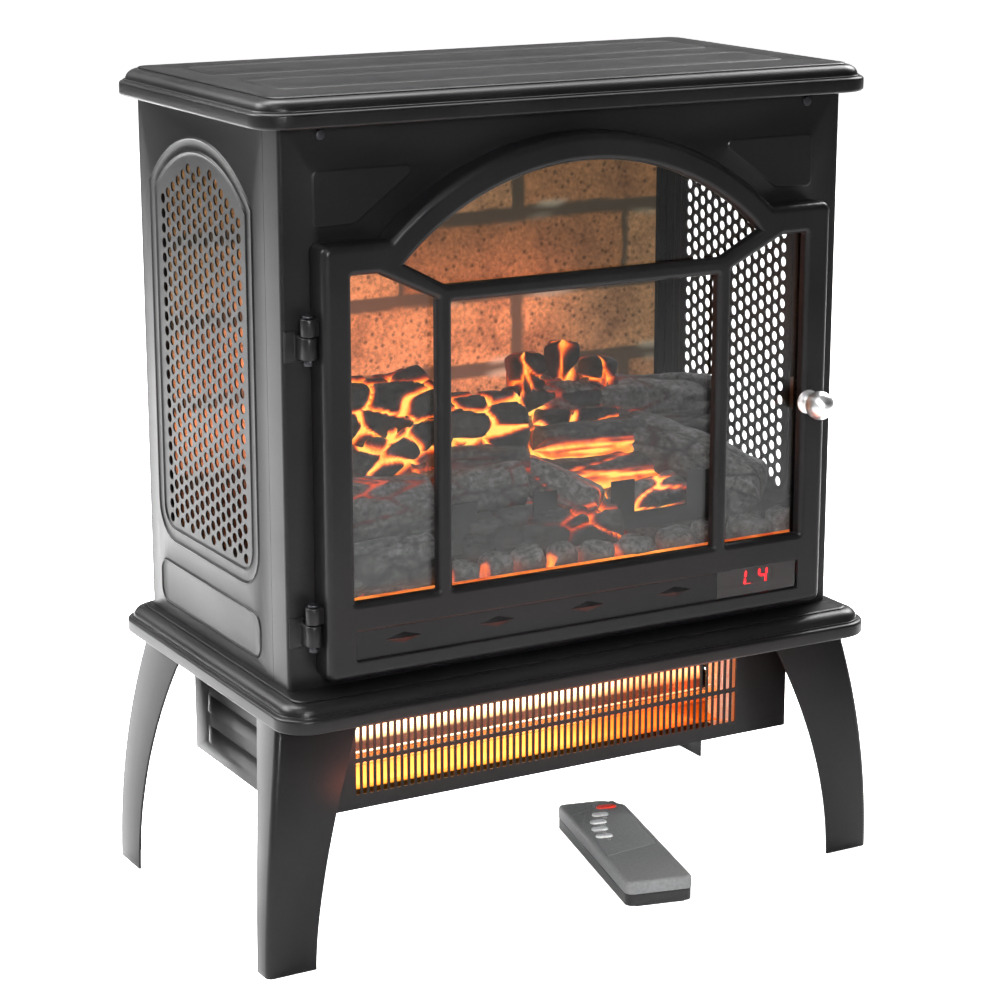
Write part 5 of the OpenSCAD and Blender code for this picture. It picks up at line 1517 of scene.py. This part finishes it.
triangle_rings = stepped_rings(bm, triangle_points, sunk, on_handset)
fill(bm, triangle_rings[-1])
fill(bm, shell_rings[-1], panel_rings[0], triangle_rings[0])
wells = []
for key in KEYS:
    centre_u, centre_v = key_middle(key)
    half_long = 0.0065 * (1.25 if key == "power" else 1.0) + 0.0003
    half_tall = 0.0033 + 0.0003
    pill = rounded(corners_of(centre_u - half_long, centre_v - half_tall, centre_u + half_long,
                              centre_v + half_tall), half_tall * 0.98, 6)
    wells.append(stepped_rings(bm, pill, [(0.0, SHELL_HIGH - 0.0015), (0.0, SHELL_HIGH - 0.0003),
                                          (-0.0003, SHELL_HIGH)], on_handset)[-1])
fill(bm, panel_rings[-1], *wells)
shell = turned_to(from_bmesh("handset_upper_shell", bm, outward=False), (0, 0, 1))
handset_grey = coated("charcoal_moulding", (0.17, 0.172, 0.175), 0.46, grain=2600.0, relief=0.00005)
handset_black = coated("black_moulding", (0.018, 0.018, 0.019), 0.35, grain=2000.0, relief=0.00003)
fit(settle(thicken(shell, SHEET), 40), "handset", "handset_grey", handset_grey, "handset_top")

bm = bmesh.new()
under = [(0.0011, 0.0), (0.0004, 0.0004), (0.0004, SEAM - 0.0011), (0.0011, SEAM - 0.0006),
         (0.0011, SEAM + 0.0002)]
base_rings = stepped_rings(bm, plan, under, on_handset)
cover_half, cover_end = 0.0193, -HALF_LONG + 0.0522
cover_hole = corners_of(-cover_half, -HALF_LONG + 0.002, cover_half, cover_end)
hole_ring = [bm.verts.new(on_handset(u, v, 0.0)) for u, v in cover_hole]
fill(bm, base_rings[0], hole_ring)
lower_shell = turned_to(from_bmesh("handset_lower_shell", bm, outward=False), (0, 0, -1))
fit(settle(thicken(lower_shell, 0.0010), 40), "handset", "handset_black", handset_black, "handset_base")
dress(handset_black, "battery_cover")
key_red = coated("red_rubber", (0.85, 0.03, 0.012), 0.38, grain=1500.0, relief=0.00002)
key_grey = coated("grey_rubber", (0.56, 0.57, 0.575), 0.45, grain=1500.0, relief=0.00002)
for key in KEYS:
    node_name = "handset_" + key + "_key"
    slot, rubber = ("key_red", key_red) if key == "power" else ("key_grey", key_grey)
    fit_softened(node_name, 0.0008, slot, rubber, body=node_name, segments=3)

# ---------------------------------------------------------------- handset marks
# Small generic pictograms are pad-printed beside the keys: a ring, a flame, waves and a clock.
MARK_WIDE, MARK_THICK = 0.00042, 0.00005


def stroke(bm, points, closed=False):
    """A flat printed line through points on the handset's face."""
    count = len(points)
    rows = []
    for k, (u, v) in enumerate(points):
        before = points[k - 1] if closed or k else points[k]
        after = points[(k + 1) % count] if closed or k < count - 1 else points[k]
        along = (Vector(after) - Vector(before)).normalized()
        side = Vector((-along.y, along.x)) * MARK_WIDE / 2
        rows.append([bm.verts.new(on_handset(u + side.x, v + side.y, SHELL_HIGH + MARK_THICK)),
                     bm.verts.new(on_handset(u - side.x, v - side.y, SHELL_HIGH + MARK_THICK))])
    pairs = list(zip(rows, rows[1:])) + ([(rows[-1], rows[0])] if closed else [])
    for (a, b), (c, d) in pairs:
        bm.faces.new((a, b, d, c))


def circle_points(u, v, radius, start=0, end=360, steps=16):
    return [(u + radius * math.cos(a), v + radius * math.sin(a))
            for a in [math.radians(start + (end - start) * k / steps) for k in range(steps + 1)]]


def wave_points(u, v, tall=0.0030):
    return [(u + 0.0004 * math.sin(2 * math.pi * k / 8), v - tall / 2 + tall * k / 10) for k in range(11)]


printed_white, _ = principled("printed_white", Base_Color=(0.72, 0.72, 0.72, 1), Roughness=0.5)
printed_red, _ = principled("printed_red", Base_Color=(0.6, 0.02, 0.02, 1), Roughness=0.5)
for key in KEYS:
    u, v = key_middle(key)
    u, v = u + 0.0016, v - 0.0070
    bm = bmesh.new()
    if key == "power":
        stroke(bm, circle_points(u, v, 0.0013)[:-1], closed=True)
    elif key == "timer":
        stroke(bm, circle_points(u, v, 0.0015)[:-1], closed=True)
        stroke(bm, [(u, v + 0.0009), (u, v), (u + 0.0008, v)])
    elif key == "heat":
        for shift in (-0.0015, 0.0, 0.0015):
            stroke(bm, wave_points(u + shift, v))
    elif key == "warm":
        for shift in (-0.0008, 0.0008):
            stroke(bm, wave_points(u + shift, v))
    else:
        stroke(bm, [(u, v + 0.0019), (u - 0.0011, v), (u - 0.0008, v - 0.0012), (u, v - 0.0016),
                    (u + 0.0009, v - 0.0011), (u + 0.0012, v + 0.0002)], closed=True)
    print_mark = turned_to(from_bmesh("mark_" + key, bm, outward=False), (0, 0, 1))
    fit(settle(print_mark), "handset", "key_red" if key == "power" else "key_grey",
        printed_red if key == "power" else printed_white)
